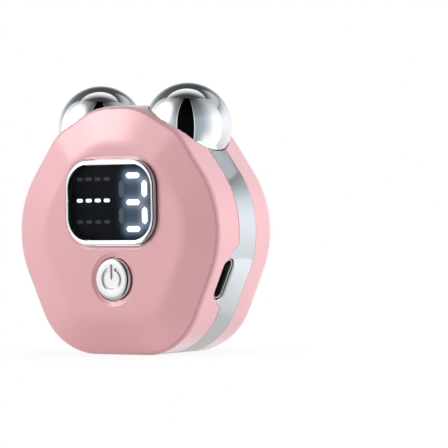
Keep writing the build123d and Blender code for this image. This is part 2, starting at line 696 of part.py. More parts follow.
# ---------------------------------------------------------------- balls
def ball(side):
    body = Pos(side * BALL_X, 0, BALL_Z) * Sphere(BALL_RADIUS)
    return body - on_axle(side, BUSH_RADIUS, 0, -BALL_RADIUS - 1, BORE_TOP)


def ball_bush(side):
    return on_axle(side, BUSH_RADIUS, AXLE_RADIUS + AXLE_RUNNING_GAP, BUSH_BOTTOM, BUSH_TOP)


def ball_axle(side):
    shaft = on_axle(side, AXLE_RADIUS, 0, COLLAR_TOP, AXLE_TIP)
    shaft -= on_axle(side, AXLE_RADIUS + 1, GROOVE_RADIUS, CLIP_BOTTOM, CLIP_BOTTOM + CLIP_THICK)
    shaft += on_axle(side, COLLAR_RADIUS, 0, HEATER_TOP, COLLAR_TOP)
    return shaft + on_axle(side, STUD_RADIUS, 0, STUD_END, HEATER_TOP)


def axle_clip(side):
    """Snap ring in the axle's groove, with a gap to spring over it."""
    ring = Circle(CLIP_RADIUS) - Circle(GROOVE_RADIUS) - Pos(CLIP_RADIUS, 0) * Rectangle(2 * CLIP_RADIUS, 1.2)
    return extrude(ball_place(side).offset(CLIP_BOTTOM) * ring, amount=CLIP_THICK)


def axle_seal(side):
    return on_axle(side, COLLAR_RADIUS, AXLE_RADIUS, COLLAR_TOP, -SEAT_RADIUS)


def axle_heater(side):
    return on_axle(side, HEATER_RADIUS, STUD_RADIUS, BOSS_TOP, HEATER_TOP)


def axle_terminal(side):
    """Ring terminal with a solder tab towards the back."""
    tab = Pos(TAB_REACH / 3 * 2, 0) * Rectangle(TAB_REACH / 3 * 2, TAB_WIDE)
    ring = Circle(TERMINAL_RADIUS) + tab - Circle(STUD_RADIUS)
    return extrude(ball_place(side).offset(NUT_TOP) * ring, amount=TERMINAL_THICK)


def axle_nut(side):
    nut = RegularPolygon(NUT_FLATS / 2, 6, major_radius=False) - Circle(STUD_RADIUS)
    return extrude(ball_place(side).offset(NUT_TOP - NUT_THICK) * nut, amount=NUT_THICK)


def ball_lead(side):
    tab = ball_place(side).offset(NUT_TOP - LEAD_RADIUS).from_local_coords(Vector(4.2, 0, 0))
    points = [(tab.X, tab.Y, tab.Z), (tab.X, tab.Y, WIRE_SLOT_Z), (tab.X, MAIN_BOARD_BACK + 0.5, WIRE_SLOT_Z),
              (tab.X, MAIN_BOARD_BACK + 0.5, 24.0)]
    return lead(points, [0.9, 0.9])


# ---------------------------------------------------------------- all nodes
NODES = {
    "front_shell": front_shell,
    "rear_shell": rear_shell,
    "mid_band": mid_band,
    "display_bezel": display_bezel,
    "display_lens": display_lens,
    "display_reflector": display_reflector,
    "segment_guides_lit": lambda: guides(lit_strokes(), FIT),
    "segment_guides_dim": lambda: guides(dim_strokes(), FIT),
    "mode_bar_guides": lambda: guides(mode_dashes(), FIT),
    "display_leds": display_leds,
    "display_board": display_board,
    "display_screws": display_screws,
    "board_link_header": board_link_header,
    "power_button": power_button,
    "switch_body": switch_body,
    "switch_plunger": switch_plunger,
    "port_shell": port_shell,
    "port_tongue": port_tongue,
    "port_contacts": port_contacts,
    "main_board": main_board,
    "board_screws": board_screws,
    "board_chips": board_chips,
    "pulse_transformer": pulse_transformer,
    "board_capacitors": board_capacitors,
    "battery_connector": battery_connector,
    "battery_leads": battery_leads,
    "battery_cell": battery_cell,
    "battery_foam_pad": battery_foam_pad,
    "inner_frame": inner_frame,
    "frame_screws": frame_screws,
}
PAIRED = {
    "ball": ball,
    "ball_bush": ball_bush,
    "ball_axle": ball_axle,
    "axle_clip": axle_clip,
    "axle_seal": axle_seal,
    "axle_heater": axle_heater,
    "axle_terminal": axle_terminal,
    "axle_nut": axle_nut,
    "ball_lead": ball_lead,
}

for node, make in NODES.items():
    export_step(make(), f"parts/{node}.step")
for node, make in PAIRED.items():
    export_step(make(-1), f"parts/{node}_left.step")
    export_step(make(1), f"parts/{node}_right.step")
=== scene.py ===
"""Looks of the palm-size facial toning device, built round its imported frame.

Pieces are modelled in millimetres and brought to metres when they are finished.
"""
import json
from math import atan2, ceil, cos, degrees, pi, radians, sin, tan

import bmesh
import bpy
from mathutils import Matrix, Vector


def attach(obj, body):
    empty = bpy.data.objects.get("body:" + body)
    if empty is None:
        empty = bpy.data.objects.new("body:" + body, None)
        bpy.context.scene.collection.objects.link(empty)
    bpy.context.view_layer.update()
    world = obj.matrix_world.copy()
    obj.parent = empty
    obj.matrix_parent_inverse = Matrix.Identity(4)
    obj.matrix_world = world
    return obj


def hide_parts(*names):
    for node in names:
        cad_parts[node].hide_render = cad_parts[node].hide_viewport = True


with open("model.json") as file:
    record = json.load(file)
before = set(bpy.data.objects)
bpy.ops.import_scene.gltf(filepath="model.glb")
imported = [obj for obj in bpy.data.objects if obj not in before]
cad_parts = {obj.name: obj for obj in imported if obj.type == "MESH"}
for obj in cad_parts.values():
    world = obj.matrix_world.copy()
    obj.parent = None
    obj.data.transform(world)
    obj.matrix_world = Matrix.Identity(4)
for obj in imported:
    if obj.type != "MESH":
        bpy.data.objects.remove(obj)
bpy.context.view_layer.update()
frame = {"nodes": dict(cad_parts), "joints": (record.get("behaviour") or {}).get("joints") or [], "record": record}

# ---------------- camera
# A long lens, level with the body and to its right, so that the far ball looks nearly as
# large as the near one.  It stands a little off the body's middle and leans slightly.
MM = 0.001
CAMERA_AZIMUTH = radians(36)
CAMERA_HEIGHT = radians(0.64)
CAMERA_LEAN = radians(-0.95)
CAMERA_DISTANCE = 632
SCALE = 4.7                # image pixels to the millimetre at the body's middle
IMAGE_SIDE = 448
SENSOR = 36
BODY_MIDDLE = Vector((0, 0, 27))
MIDDLE_IN_IMAGE = (145.7, 225.3)


def towards(azimuth, rise):
    """Direction out from the body.  Azimuth 0 is in front, and a quarter turn is to the right."""
    return Vector((sin(azimuth) * cos(rise), -cos(azimuth) * cos(rise), sin(rise)))


def put(name, data, matrix=Matrix()):
    """Adds an object to the scene."""
    obj = bpy.data.objects.new(name, data)
    obj.matrix_world = matrix
    bpy.context.scene.collection.objects.link(obj)
    return obj


away = towards(CAMERA_AZIMUTH, CAMERA_HEIGHT)
level = Vector((cos(CAMERA_AZIMUTH), sin(CAMERA_AZIMUTH), 0))
upright = away.cross(level)
right = level * cos(CAMERA_LEAN) + upright * sin(CAMERA_LEAN)
up = upright * cos(CAMERA_LEAN) - level * sin(CAMERA_LEAN)
camera_place = BODY_MIDDLE + away * CAMERA_DISTANCE
aim = BODY_MIDDLE + right * (IMAGE_SIDE / 2 - MIDDLE_IN_IMAGE[0]) / SCALE
aim += up * (MIDDLE_IN_IMAGE[1] - IMAGE_SIDE / 2) / SCALE
back = (camera_place - aim).normalized()
across = up.cross(back).normalized()
facing = Matrix((across, back.cross(across), back)).transposed().to_4x4()

lens = bpy.data.cameras.new("camera")
lens.sensor_width = SENSOR
lens.lens = SCALE * CAMERA_DISTANCE / IMAGE_SIDE * SENSOR
lens.clip_start = 10 * MM
lens.clip_end = 20
bpy.context.scene.camera = put("camera", lens, Matrix.Translation(camera_place * MM) @ facing)
bpy.context.scene.view_settings.view_transform = "Standard"


# ---------------- studio
# A white light tent stands round the table, open in front.  It shows in reflections only:
# three large lamps and an even light do the lighting.  The table is white paper.
def add(tree, kind, inputs=None, **settings):
    """Adds a shader node.  inputs gives its sockets a value or another node's output."""
    node = tree.nodes.new("ShaderNode" + kind)
    for name, value in settings.items():
        setattr(node, name, value)
    for name, value in (inputs or {}).items():
        if isinstance(value, bpy.types.NodeSocket):
            tree.links.new(value, node.inputs[name])
        else:
            node.inputs[name].default_value = value
    return node


def calc(tree, operation, *values, clamp=False):
    """Adds a sum on numbers and returns its result."""
    node = add(tree, "Math", dict(enumerate(values)), operation=operation, use_clamp=clamp)
    return node.outputs[0]


def times(tree, value, *others):
    """Multiplies numbers."""
    for other in others:
        value = calc(tree, "MULTIPLY", value, other)
    return value


def vector_calc(tree, operation, *values):
    """Adds a sum on vectors and returns its result."""
    node = add(tree, "VectorMath", dict(enumerate(values)), operation=operation)
    return node.outputs["Value" if operation in ("DOT_PRODUCT", "LENGTH") else "Vector"]


def ease(tree, value, low, high):
    """0 at low and 1 at high, with a soft step between them.  Low may be the larger."""
    node = add(tree, "MapRange", {0: value, 1: low, 2: high}, interpolation_type="SMOOTHSTEP")
    return node.outputs[0]


def blend(tree, share, one, other):
    """Mixes two colours."""
    return add(tree, "Mix", {0: share, 6: one, 7: other}, data_type="RGBA").outputs[2]


def grey(level, warmth=0.0):
    """Neutral colour, warmer or cooler by a little."""
    return (level * (1 + warmth), level, level * (1 - warmth), 1)


def ramp(tree, value, stops):
    """Grey that follows a value between stops: each a place, a level and at times a warmth."""
    low, high = stops[0][0], stops[-1][0]
    share = calc(tree, "DIVIDE", calc(tree, "SUBTRACT", value, low), high - low)
    node = add(tree, "ValToRGB", {0: share})
    points = node.color_ramp.elements
    while len(points) < len(stops):
        points.new(0.5)
    for point, (place, *tone) in zip(points, stops):
        point.position = (place - low) / (high - low)
        point.color = grey(*tone)
    return node.outputs[0]


def rays(tree):
    """Whether the camera sees this straight or through the window, and whether it is a reflection."""
    paths = add(tree, "LightPath").outputs
    seen = calc(tree, "MAXIMUM", paths["Is Camera Ray"], paths["Is Transmission Ray"])
    return seen, paths["Is Glossy Ray"]


OPENING = towards(radians(30), 0)      # middle of the open front
FILL = 0.49                # the even light
world = bpy.data.worlds.new("tent")
world.use_nodes = True
bpy.context.scene.world = world
tree = world.node_tree
tree.nodes.clear()
direction = add(tree, "TexCoord").outputs["Generated"]
ahead = vector_calc(tree, "DOT_PRODUCT", direction, OPENING)
aside = vector_calc(tree, "DOT_PRODUCT", direction, (-OPENING.y, OPENING.x, 0))
height = vector_calc(tree, "DOT_PRODUCT", direction, (0, 0, 1))
turn = calc(tree, "DEGREES", calc(tree, "ARCTAN2", aside, ahead))
rise = calc(tree, "DEGREES", calc(tree, "ARCSINE", height))

# Its walls are bright at the sides and black in the opening, between two white posts.  They
# darken upwards, and the right one is white below the table's level.
walls = ramp(tree, turn, [
    (-180, 1.15), (-62, 1.15), (-48, 0.86, -0.03), (-27, 0.42, -0.06), (-23.5, 1.0), (-22.5, 0.003),
    (21.5, 0.003), (22.5, 1.0), (25, 0.37, -0.10), (48, 0.50, -0.10), (62, 0.74, -0.05), (82, 1.2),
    (102, 1.2), (110, 1.0), (180, 1.0)])
wall_fade = ramp(tree, rise, [(0, 1.0), (18, 0.95), (33, 0.64), (51, 0.38), (60, 0.30), (69, 0.17),
                              (77, 0.03), (90, 0.005)])
LOW_WALL = {"rise": (-2, -45), "turn": (32, 62), "level": 1.1}
low_wall = times(tree, ease(tree, rise, *LOW_WALL["rise"]), ease(tree, turn, *LOW_WALL["turn"]))
tent = blend(tree, low_wall, vector_calc(tree, "MULTIPLY", walls, wall_fade), grey(LOW_WALL["level"]))

# Behind the tent's back edge the room is grey at the sides and dark overhead.
BACK_EDGE = -0.637         # how far behind the body the tent ends
BACK_EDGE_RISE = 0.12      # it hangs further forward higher up
BACK_EDGE_CURL = 0.78      # and curls over at the top
EDGE_BLUR = 0.004
ROOM_SIDES = 0.3           # how much of the sides' grey the room takes on
edge = calc(tree, "MULTIPLY_ADD", height, BACK_EDGE_RISE, BACK_EDGE)
upward = calc(tree, "POWER", calc(tree, "MAXIMUM", height, 0.0), 4.0)
edge = calc(tree, "MULTIPLY_ADD", upward, BACK_EDGE_CURL, edge)
behind = calc(tree, "SUBTRACT", edge, ahead)
room = ramp(tree, rise, [(-40, 0.9), (0, 0.95), (7, 0.85), (22, 0.32, -0.12), (36, 0.08, -0.08),
                         (60, 0.06, -0.08), (90, 0.05)])
room = blend(tree, times(tree, aside, aside, ROOM_SIDES), room, grey(0.62, -0.04))
studio = blend(tree, ease(tree, behind, -EDGE_BLUR, EDGE_BLUR), tent, room)

# A plain screen stands behind the body's right side, and a dark seam runs along the edge.
SCREEN_LEFT = (104, 112)
SCREEN_RIGHT = (162, 150)
SCREEN_TOP = (56, 40)
SEAM_BLUR = (0.02, 0.006)
SEAM_SHARES = (0.08, 0.7)  # how dark the seam is in front of the screen, and beside it
screen = ramp(tree, rise, [(-40, 0.60), (-22, 0.80, -0.02), (2, 1.0, -0.03), (10, 1.0, -0.03),
                           (18, 0.84, -0.05), (26, 0.48, -0.06), (30.2, 0.28, -0.06),
                           (31.0, 0.56, -0.02), (60, 0.56, -0.02)])
on_screen = times(tree, ease(tree, turn, *SCREEN_LEFT), ease(tree, turn, *SCREEN_RIGHT),
                  ease(tree, rise, *SCREEN_TOP))
studio = blend(tree, on_screen, studio, screen)
seam = ease(tree, calc(tree, "ABSOLUTE", behind), *SEAM_BLUR)
seam_share = calc(tree, "MULTIPLY_ADD", on_screen, SEAM_SHARES[0] - SEAM_SHARES[1], SEAM_SHARES[1])
studio = blend(tree, times(tree, seam, seam_share), studio, grey(0.03))

# A round light hangs overhead, and the key lamp is a bright core in a soft halo.
TOP_LIGHT = (0.96, -0.06, 0.273)       # its middle: up, aside and ahead
TOP_LIGHT_RIM = (0.722, 0.739)
TOP_LIGHT_FADE = (0.02, -0.40)         # it fades out towards the front
KEY_AZIMUTH = -45
KEY_RISE = 26
KEY_LAYERS = ((36, 14, 1.35), (17, 7, 8.0))      # outer and inner reach in degrees, and level
over = 0.0
for part, share in zip((height, aside, ahead), TOP_LIGHT):
    over = calc(tree, "MULTIPLY_ADD", part, share, over)
top_light = times(tree, ease(tree, over, *TOP_LIGHT_RIM), ease(tree, ahead, *TOP_LIGHT_FADE))
studio = blend(tree, top_light, studio, grey(1.0))
to_key = vector_calc(tree, "DOT_PRODUCT", direction, towards(radians(KEY_AZIMUTH), radians(KEY_RISE)))
for outer, inner, glow in KEY_LAYERS:
    near_key = ease(tree, to_key, cos(radians(outer)), cos(radians(inner)))
    studio = blend(tree, near_key, studio, grey(glow))
seen, mirrored = rays(tree)
shown = blend(tree, seen, blend(tree, mirrored, grey(FILL), studio), grey(1.0))
background = add(tree, "Background", {"Color": shown, "Strength": 1.0})
add(tree, "OutputWorld", {"Surface": background.outputs[0]})


def aimed(direction, place):
    """Matrix that puts something at a place with its Z along a direction."""
    return Matrix.Translation(place) @ direction.to_track_quat("Z", "Y").to_matrix().to_4x4()


def lamp(name, azimuth, rise, distance, width, watts, colour=(1, 1, 1)):
    """Square soft lamp that faces the body.  Reflections show the tent instead of it."""
    data = bpy.data.lights.new(name, "AREA")
    data.color = colour
    data.size = width * MM
    data.energy = watts
    out = towards(radians(azimuth), radians(rise))
    obj = put(name, data, aimed(out, (BODY_MIDDLE + out * distance) * MM))
    obj.visible_glossy = False


lamp("key_lamp", -53, 10, 600, 240, 2.38)
lamp("right_lamp", 112, 10, 600, 240, 3.15, (0.94, 1.045, 1.06))
lamp("rear_lamp", 170, 35, 700, 400, 1.0)


def as_object(name, bm):
    """Turns a finished bmesh into an object."""
    mesh = bpy.data.meshes.new(name)
    bm.to_mesh(mesh)
    bm.free()
    return put(name, mesh)


def move(bm, matrix):
    """Moves a whole mesh."""
    bmesh.ops.transform(bm, matrix=matrix, verts=bm.verts)


def object_place(tree):
    """Place on the object, in metres."""
    return add(tree, "TexCoord").outputs["Object"]


def mix_shaders(tree, share, one, other):
    """Mixes the first outputs of two shader nodes."""
    return add(tree, "MixShader", {0: share, 1: one.outputs[0], 2: other.outputs[0]})


FLOOR_SIDE = 6000
FLOOR_DROP = 0.02
TABLE_REACH = 78           # polished parts see the table only this far from the body's foot
FRONT_REACH = 17           # and only this far where the tent is open
REACH_BLUR = 4
FRONT_ANGLE = (0.80, 0.92) # cosines of the angle from the opening's middle
GLOW_REACH = (16, 40)      # the paper glows fully beyond this, and less near the foot
GLOW_NEAR = 0.90
bm = bmesh.new()
bmesh.ops.create_grid(bm, x_segments=1, y_segments=1, size=FLOOR_SIDE / 2 * MM)
move(bm, Matrix.Translation((0, 0, -FLOOR_DROP * MM)))
floor = as_object("floor", bm)
paper = bpy.data.materials.new("white_table")
paper.use_nodes = True
tree = paper.node_tree
tree.nodes.clear()
place = object_place(tree)
from_foot = calc(tree, "DIVIDE", vector_calc(tree, "LENGTH", place), MM)
to_opening = vector_calc(tree, "DOT_PRODUCT", vector_calc(tree, "NORMALIZE", place), OPENING)
reach = calc(tree, "MULTIPLY_ADD", ease(tree, to_opening, *FRONT_ANGLE), FRONT_REACH - TABLE_REACH,
             TABLE_REACH)
far = calc(tree, "MULTIPLY_ADD", ease(tree, from_foot, *GLOW_REACH), 1 - GLOW_NEAR, GLOW_NEAR)
# In reflections the table shows a painted image: painted shade, darker and a little warmer near the foot,
# brightening to white further out.
painted_table_shade = ramp(tree, from_foot, [(0, 0.50, 0.04), (16, 0.58, 0.02), (27, 0.62), (31, 0.72, -0.02),
                               (55, 1.05, -0.02), (80, 1.05, -0.02)])
past = ease(tree, calc(tree, "SUBTRACT", from_foot, reach), -REACH_BLUR, 0)
seen, mirrored = rays(tree)
matte = add(tree, "BsdfDiffuse", {"Color": grey(0.86)})
glow = add(tree, "Emission", {"Color": grey(1.0), "Strength": 1.0})
image = add(tree, "Emission", {"Color": painted_table_shade, "Strength": 1.0})
plain = mix_shaders(tree, times(tree, seen, far), matte, glow)
polish_view = mix_shaders(tree, past, image, add(tree, "BsdfTransparent"))
both = mix_shaders(tree, mirrored, plain, polish_view)
add(tree, "OutputMaterial", {"Surface": both.outputs[0]})
floor.data.materials.append(paper)


# ---------------- front shell
# The front half of the body is one moulding in satin pink: a drafted side wall, a rounded
# edge, a sloping border and a flat face with a window and a round hole in it.
FOOT_HALF = 16.3
WAIST = (29.1, 28.1)
SHOULDER = (16.1, 46.4)
CROWN = (5.7, 52.2)
OUTLINE_RADII = (15.0, 21.0, 9.5, 16.8)     # foot, waist, shoulder, crown
FACE_DEPTH = 12.0
CREASE_DEPTH = 10.2
BORDER_WIDTH = 7.8
SIDE_DRAFT = 0.3
WALL = 1.6
BAND_HALF = 3.05
SEAM_ROUNDING = 0.22
FRONT_EDGE_RADIUS = 1.1
FACE_EDGE_RADIUS = 9.0
ARC_STEP = 4.0             # degrees between points on a rounded corner
CIRCLE_STEPS = 96
HAIRLINE = 0.05            # gap between mouldings that meet
LIP = 0.22                 # rounding of an edge round an opening
ROUND_STEPS = 3            # faces across a small rounding
FORWARD = Vector((0, -1, 0))


def add_ring(bm, corners, radii, depth):
    """Adds a closed line of straight runs and arcs at a depth, and returns its points."""
    start = len(bm.verts)
    places = [Vector((x, depth, z)) for x, z in corners]
    for i, (here, radius) in enumerate(zip(places, radii)):
        to_last = (places[i - 1] - here).normalized()
        to_next = (places[(i + 1) % len(places)] - here).normalized()
        turn = pi - to_last.angle(to_next)
        centre = here + (to_last + to_next).normalized() * radius / cos(turn / 2)
        first = bm.verts.new(here + to_last * radius * tan(turn / 2))
        bmesh.ops.spin(bm, geom=[first], cent=centre, axis=FORWARD, angle=turn,
                       steps=ceil(degrees(turn) / ARC_STEP))
    bm.verts.ensure_lookup_table()
    verts = bm.verts[start:]
    for pair in zip(verts, verts[1:] + verts[:1]):
        bm.edges.get(pair) or bm.edges.new(pair)
    return verts


def body_ring(bm, inset, depth):
    """Outline of the body, moved inwards.  The foot stays on the ground where it is widened."""
    right_side = [Vector((FOOT_HALF, 0)), Vector(WAIST), Vector(SHOULDER), Vector(CROWN)]
    moves = [(Vector((0, -1)), max(inset, 0))]
    for low, high in zip(right_side, right_side[1:]):
        along = (high - low).normalized()
        moves.append((Vector((along.y, -along.x)), inset))
    moves.append((Vector((0, 1)), inset))
    corners = []
    for corner, (one, one_move), (other, other_move) in zip(right_side, moves, moves[1:]):
        shift = Vector((other_move * one.y - one_move * other.y, one_move * other.x - other_move * one.x))
        corners.append(corner + shift / one.cross(other))
    corners += [Vector((-c.x, c.y)) for c in reversed(corners)]
    radii = [r - inset for r in OUTLINE_RADII + OUTLINE_RADII[::-1]]
    return add_ring(bm, corners, radii, depth)


def round_box_ring(width, height, corner, middle=(0, 0)):
    """Maker of rounded rectangles: gives a ring for each inset and depth.

    An inset may be a pair, for the sides and for the top and bottom.
    """
    def ring(bm, inset, depth):
        sides, ends = inset if isinstance(inset, tuple) else (inset, inset)
        x, z = width / 2 - sides, height / 2 - ends
        corners = [(middle[0] + a * x, middle[1] + b * z) for a, b in ((1, -1), (1, 1), (-1, 1), (-1, -1))]
        return add_ring(bm, corners, [corner - (sides + ends) / 2] * 4, depth)
    return ring


def circle_ring(radius, middle=(0, 0)):
    """Maker of circles: gives a ring for each inset and depth."""
    def ring(bm, inset, depth):
        start = len(bm.verts)
        first = bm.verts.new((middle[0] + radius - inset, depth, middle[1]))
        bmesh.ops.spin(bm, geom=[first], cent=(middle[0], depth, middle[1]), axis=FORWARD,
                       angle=2 * pi * (1 - 1 / CIRCLE_STEPS), steps=CIRCLE_STEPS - 1)
        bm.verts.ensure_lookup_table()
        verts = bm.verts[start:]
        bm.edges.new((verts[-1], verts[0]))
        return verts
    return ring


def skin(ring, profile, closed=False, bm=None):
    """Solid over rings that follow a profile of insets and depths.

    Returns its mesh and the edges of each ring.
    """
    bm = bm or bmesh.new()
    rings = [ring(bm, inset, depth) for inset, depth in profile]
    for one, other in zip(rings, rings[1:] + rings[:1 if closed else 0]):
        for a, b, c, d in zip(one, one[1:] + one[:1], other[1:] + other[:1], other):
            bm.faces.new((a, b, c, d))
    loops = [[bm.edges.get(pair) for pair in zip(verts, verts[1:] + verts[:1])] for verts in rings]
    if not closed:
        bmesh.ops.edgeloop_fill(bm, edges=loops[0])
        bmesh.ops.edgeloop_fill(bm, edges=loops[-1])
    bmesh.ops.recalc_face_normals(bm, faces=bm.faces)
    return bm, loops


def solid(name, ring, profile):
    """Skin as an object of its own."""
    return as_object(name, skin(ring, profile)[0])


def round_edges(bm, edges, offset, segments=ROUND_STEPS):
    """Rounds edges to an arc that starts at an offset from each."""
    bmesh.ops.bevel(bm, geom=edges, offset=offset, offset_type="OFFSET", segments=segments, profile=0.5,
                    affect="EDGES", clamp_overlap=True, material=-1)


def carve(obj, tool, operation="DIFFERENCE"):
    """Cuts a tool out of an object, or joins it on, and throws the tool away."""
    cut = obj.modifiers.new("carve", "BOOLEAN")
    cut.operation = operation
    cut.solver = "EXACT"
    cut.object = tool
    evaluated = obj.evaluated_get(bpy.context.evaluated_depsgraph_get())
    mesh = bpy.data.meshes.new_from_object(evaluated)
    obj.modifiers.clear()
    obj.data = mesh
    bpy.data.objects.remove(tool)


def reworked(obj, work):
    """Runs a bmesh step on an object's mesh."""
    bm = bmesh.new()
    bm.from_mesh(obj.data)
    work(bm)
    bm.to_mesh(obj.data)
    bm.free()


SHARP_ANGLE = radians(32)


SORT_DIRECTION = Vector((1, pi, pi * pi))      # no two points lie level along it


def weld(bm, reach=1e-4):
    """Merges points that lie together.  They are sorted first, so that each run merges the same."""
    bm.verts.sort(key=lambda v: v.co.dot(SORT_DIRECTION))
    bmesh.ops.remove_doubles(bm, verts=bm.verts, dist=reach)


def smooth(bm):
    """Brings a piece to metres and smooths all but its sharp edges."""
    weld(bm, 1e-5)
    bmesh.ops.scale(bm, vec=(MM, MM, MM), verts=bm.verts)
    for face in bm.faces:
        face.smooth = True
        face.material_index = 0
    for edge in bm.edges:
        edge.smooth = edge.is_manifold and edge.calc_face_angle() < SHARP_ANGLE


def complete(obj, body, slot, material, *nodes, flat_faces=True):
    """Gives a modelled piece its final mesh and its finish, and puts it on its body."""
    reworked(obj, smooth)
    obj.data.materials.clear()
    obj.data.materials.append(material)
    if flat_faces:
        obj.modifiers.new("flat_faces", "WEIGHTED_NORMAL").keep_sharp = True
    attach(obj, body)
    if nodes:
        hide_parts(*nodes)


def draft_inset(depth):
    """Inset of the side wall at a depth."""
    return -SIDE_DRAFT * (1 - abs(depth) / CREASE_DEPTH)


def shell_half(side, edge_radius, edge_steps):
    """Mass of one half with its rounded edges, before it is hollowed."""
    bm, rings = skin(body_ring, [(draft_inset(BAND_HALF), side * (BAND_HALF + HAIRLINE / 2)),
                                 (0, side * CREASE_DEPTH), (BORDER_WIDTH, side * FACE_DEPTH)])
    slope = atan2(FACE_DEPTH - CREASE_DEPTH, BORDER_WIDTH)
    crease_turn = pi / 2 - slope
    round_edges(bm, rings[2], FACE_EDGE_RADIUS * tan(slope / 2), 6)
    round_edges(bm, rings[1], edge_radius * tan(crease_turn / 2), edge_steps)
    round_edges(bm, rings[0], SEAM_ROUNDING)
    return bm


def hollow(side):
    """Room inside one half."""
    border = WALL * (FACE_DEPTH - CREASE_DEPTH) / BORDER_WIDTH
    return solid("hollow", body_ring, [(WALL - SIDE_DRAFT, side * (BAND_HALF - 1)),
                                       (WALL, side * (CREASE_DEPTH - WALL + border)),
                                       (BORDER_WIDTH, side * (FACE_DEPTH - WALL))])


# Its plastic has a fine spark-eroded grain that leaves it satin.
GRAIN_DEPTH = 0.01
GRAIN_SPREAD = 0.10        # how much the grain varies the roughness
CLOUD_SCALE = 55.0


def start_effect(name, *numbers):
    """Starts a shared effect that takes a colour and numbers.  Returns its tree and its inputs."""
    tree = bpy.data.node_groups.new(name, "ShaderNodeTree")
    for side, sockets in (("INPUT", ("Colour", *numbers)), ("OUTPUT", ("Colour", "Roughness", "Height"))):
        for socket in sockets:
            kind = "NodeSocketColor" if socket == "Colour" else "NodeSocketFloat"
            tree.interface.new_socket(socket, in_out=side, socket_type=kind)
    return tree, tree.nodes.new("NodeGroupInput").outputs


def end_effect(tree, colour, value, roughness, height):
    """Links a shared effect's results: its colour at a brightness, its roughness and its height."""
    tint = add(tree, "HueSaturation", {"Color": colour, "Value": value}).outputs[0]
    made = tree.nodes.new("NodeGroupOutput").inputs
    for socket, result in (("Colour", tint), ("Roughness", roughness), ("Height", height)):
        tree.links.new(result, made[socket])


def noise(tree, place, scale, detail, distortion=0.0):
    """Cloudy pattern between 0 and 1."""
    inputs = {"Vector": place, "Scale": scale, "Detail": detail, "Distortion": distortion}
    return add(tree, "TexNoise", inputs).outputs["Fac"]


moulded_grain, given = start_effect("moulded_grain", "Mottle", "Roughness", "Grain Size")
tree = moulded_grain
place = object_place(tree)
drift = calc(tree, "SUBTRACT", noise(tree, place, CLOUD_SCALE, 3.0), 0.5)
pits = noise(tree, place, calc(tree, "DIVIDE", 1.0, given["Grain Size"]), 2.0)
uneven = calc(tree, "ADD", drift, calc(tree, "SUBTRACT", pits, 0.5))
end_effect(tree, given["Colour"], calc(tree, "MULTIPLY_ADD", drift, given["Mottle"], 1.0),
           calc(tree, "MULTIPLY_ADD", uneven, GRAIN_SPREAD, given["Roughness"]), pits)


def relieve(material, height, strength, deep):
    """Gives a material a relief, whose depth is in millimetres."""
    tree = material.node_tree
    relief = add(tree, "Bump", {"Height": height, "Strength": strength, "Distance": deep * MM})
    tree.links.new(relief.outputs[0], tree.nodes["Principled BSDF"].inputs["Normal"])


def finish(name, colour, effect, settings, bump=0.0, **sockets):
    """Material whose colour, roughness and relief come from a shared effect."""
    material = bpy.data.materials.new(name)
    material.use_nodes = True
    tree = material.node_tree
    shader = tree.nodes["Principled BSDF"]
    for socket, value in sockets.items():
        shader.inputs[socket.replace("_", " ")].default_value = value
    effect = add(tree, "Group", {"Colour": (*colour, 1), **settings}, node_tree=effect).outputs
    tree.links.new(effect["Colour"], shader.inputs["Base Color"])
    tree.links.new(effect["Roughness"], shader.inputs["Roughness"])
    if bump:
        relieve(material, effect["Height"], bump, GRAIN_DEPTH)
    return material


def moulded(name, colour, mottle, roughness, grain, bump=0.0, **sockets):
    """Material with a mould's grain, whose size is in millimetres."""
    settings = {"Mottle": mottle, "Roughness": roughness, "Grain Size": grain * MM}
    return finish(name, colour, moulded_grain, settings, bump, **sockets)


PINK = (0.683, 0.337, 0.362)
pink_plastic = moulded("satin_pink_plastic", PINK, 0.05, 0.31, 0.22, 0.25, Specular_IOR_Level=1.0,
                       Sheen_Weight=1.0, Sheen_Roughness=0.42, Sheen_Tint=(1.0, 0.97, 0.98, 1))
front_shell = as_object("front_shell_moulding", shell_half(-1, FRONT_EDGE_RADIUS, 8))
carve(front_shell, hollow(-1))

# A shallow dish runs round the window's opening and round the button's hole.
DISPLAY_MIDDLE = (0, 32.0)
BEZEL_WIDTH = 22.9
BEZEL_HEIGHT = 17.9
BEZEL_CORNER = 5.8
BUTTON_MIDDLE = (0, 15.9)
BUTTON_RADIUS = 4.5
BUTTON_GAP = 0.25
BEZEL_GAP = 0.19           # dark line round the display's frame
BEZEL_DISH = (0.8, 0.24)   # width and depth of the dish round the frame, and round the button
BUTTON_DISH = (1.05, 0.36)
DISH_STEPS = 8
DISH_START = 0.01          # the dish's tool begins this far above the face
OPENING_ROUNDING = 0.15
CORNER_ANGLE = radians(60) # an edge that turns more is a corner to round


def dish_tool(ring, width, deep):
    """Tool for a shallow dish round an opening in the flat face."""
    profile = [(-width, -FACE_DEPTH - 1)]
    for i in range(DISH_STEPS + 1):
        share = i / DISH_STEPS
        fall = (deep + DISH_START) * share * share * (3 - 2 * share)
        profile.append((-width * (1 - share), -FACE_DEPTH - DISH_START + fall))
    return solid("dish_tool", ring, profile + [(0.4, -FACE_DEPTH + deep)])


def round_face_openings(bm):
    """Rounds the edges of the openings at the bottom of their dishes."""
    depths = [-FACE_DEPTH + BEZEL_DISH[1], -FACE_DEPTH + BUTTON_DISH[1]]
    weld(bm)
    rims = [e for e in bm.edges if e.is_manifold and e.calc_face_angle() > CORNER_ANGLE
            and any(all(abs(v.co.y - depth) < 1e-3 for v in e.verts) for depth in depths)]
    round_edges(bm, rims, OPENING_ROUNDING)


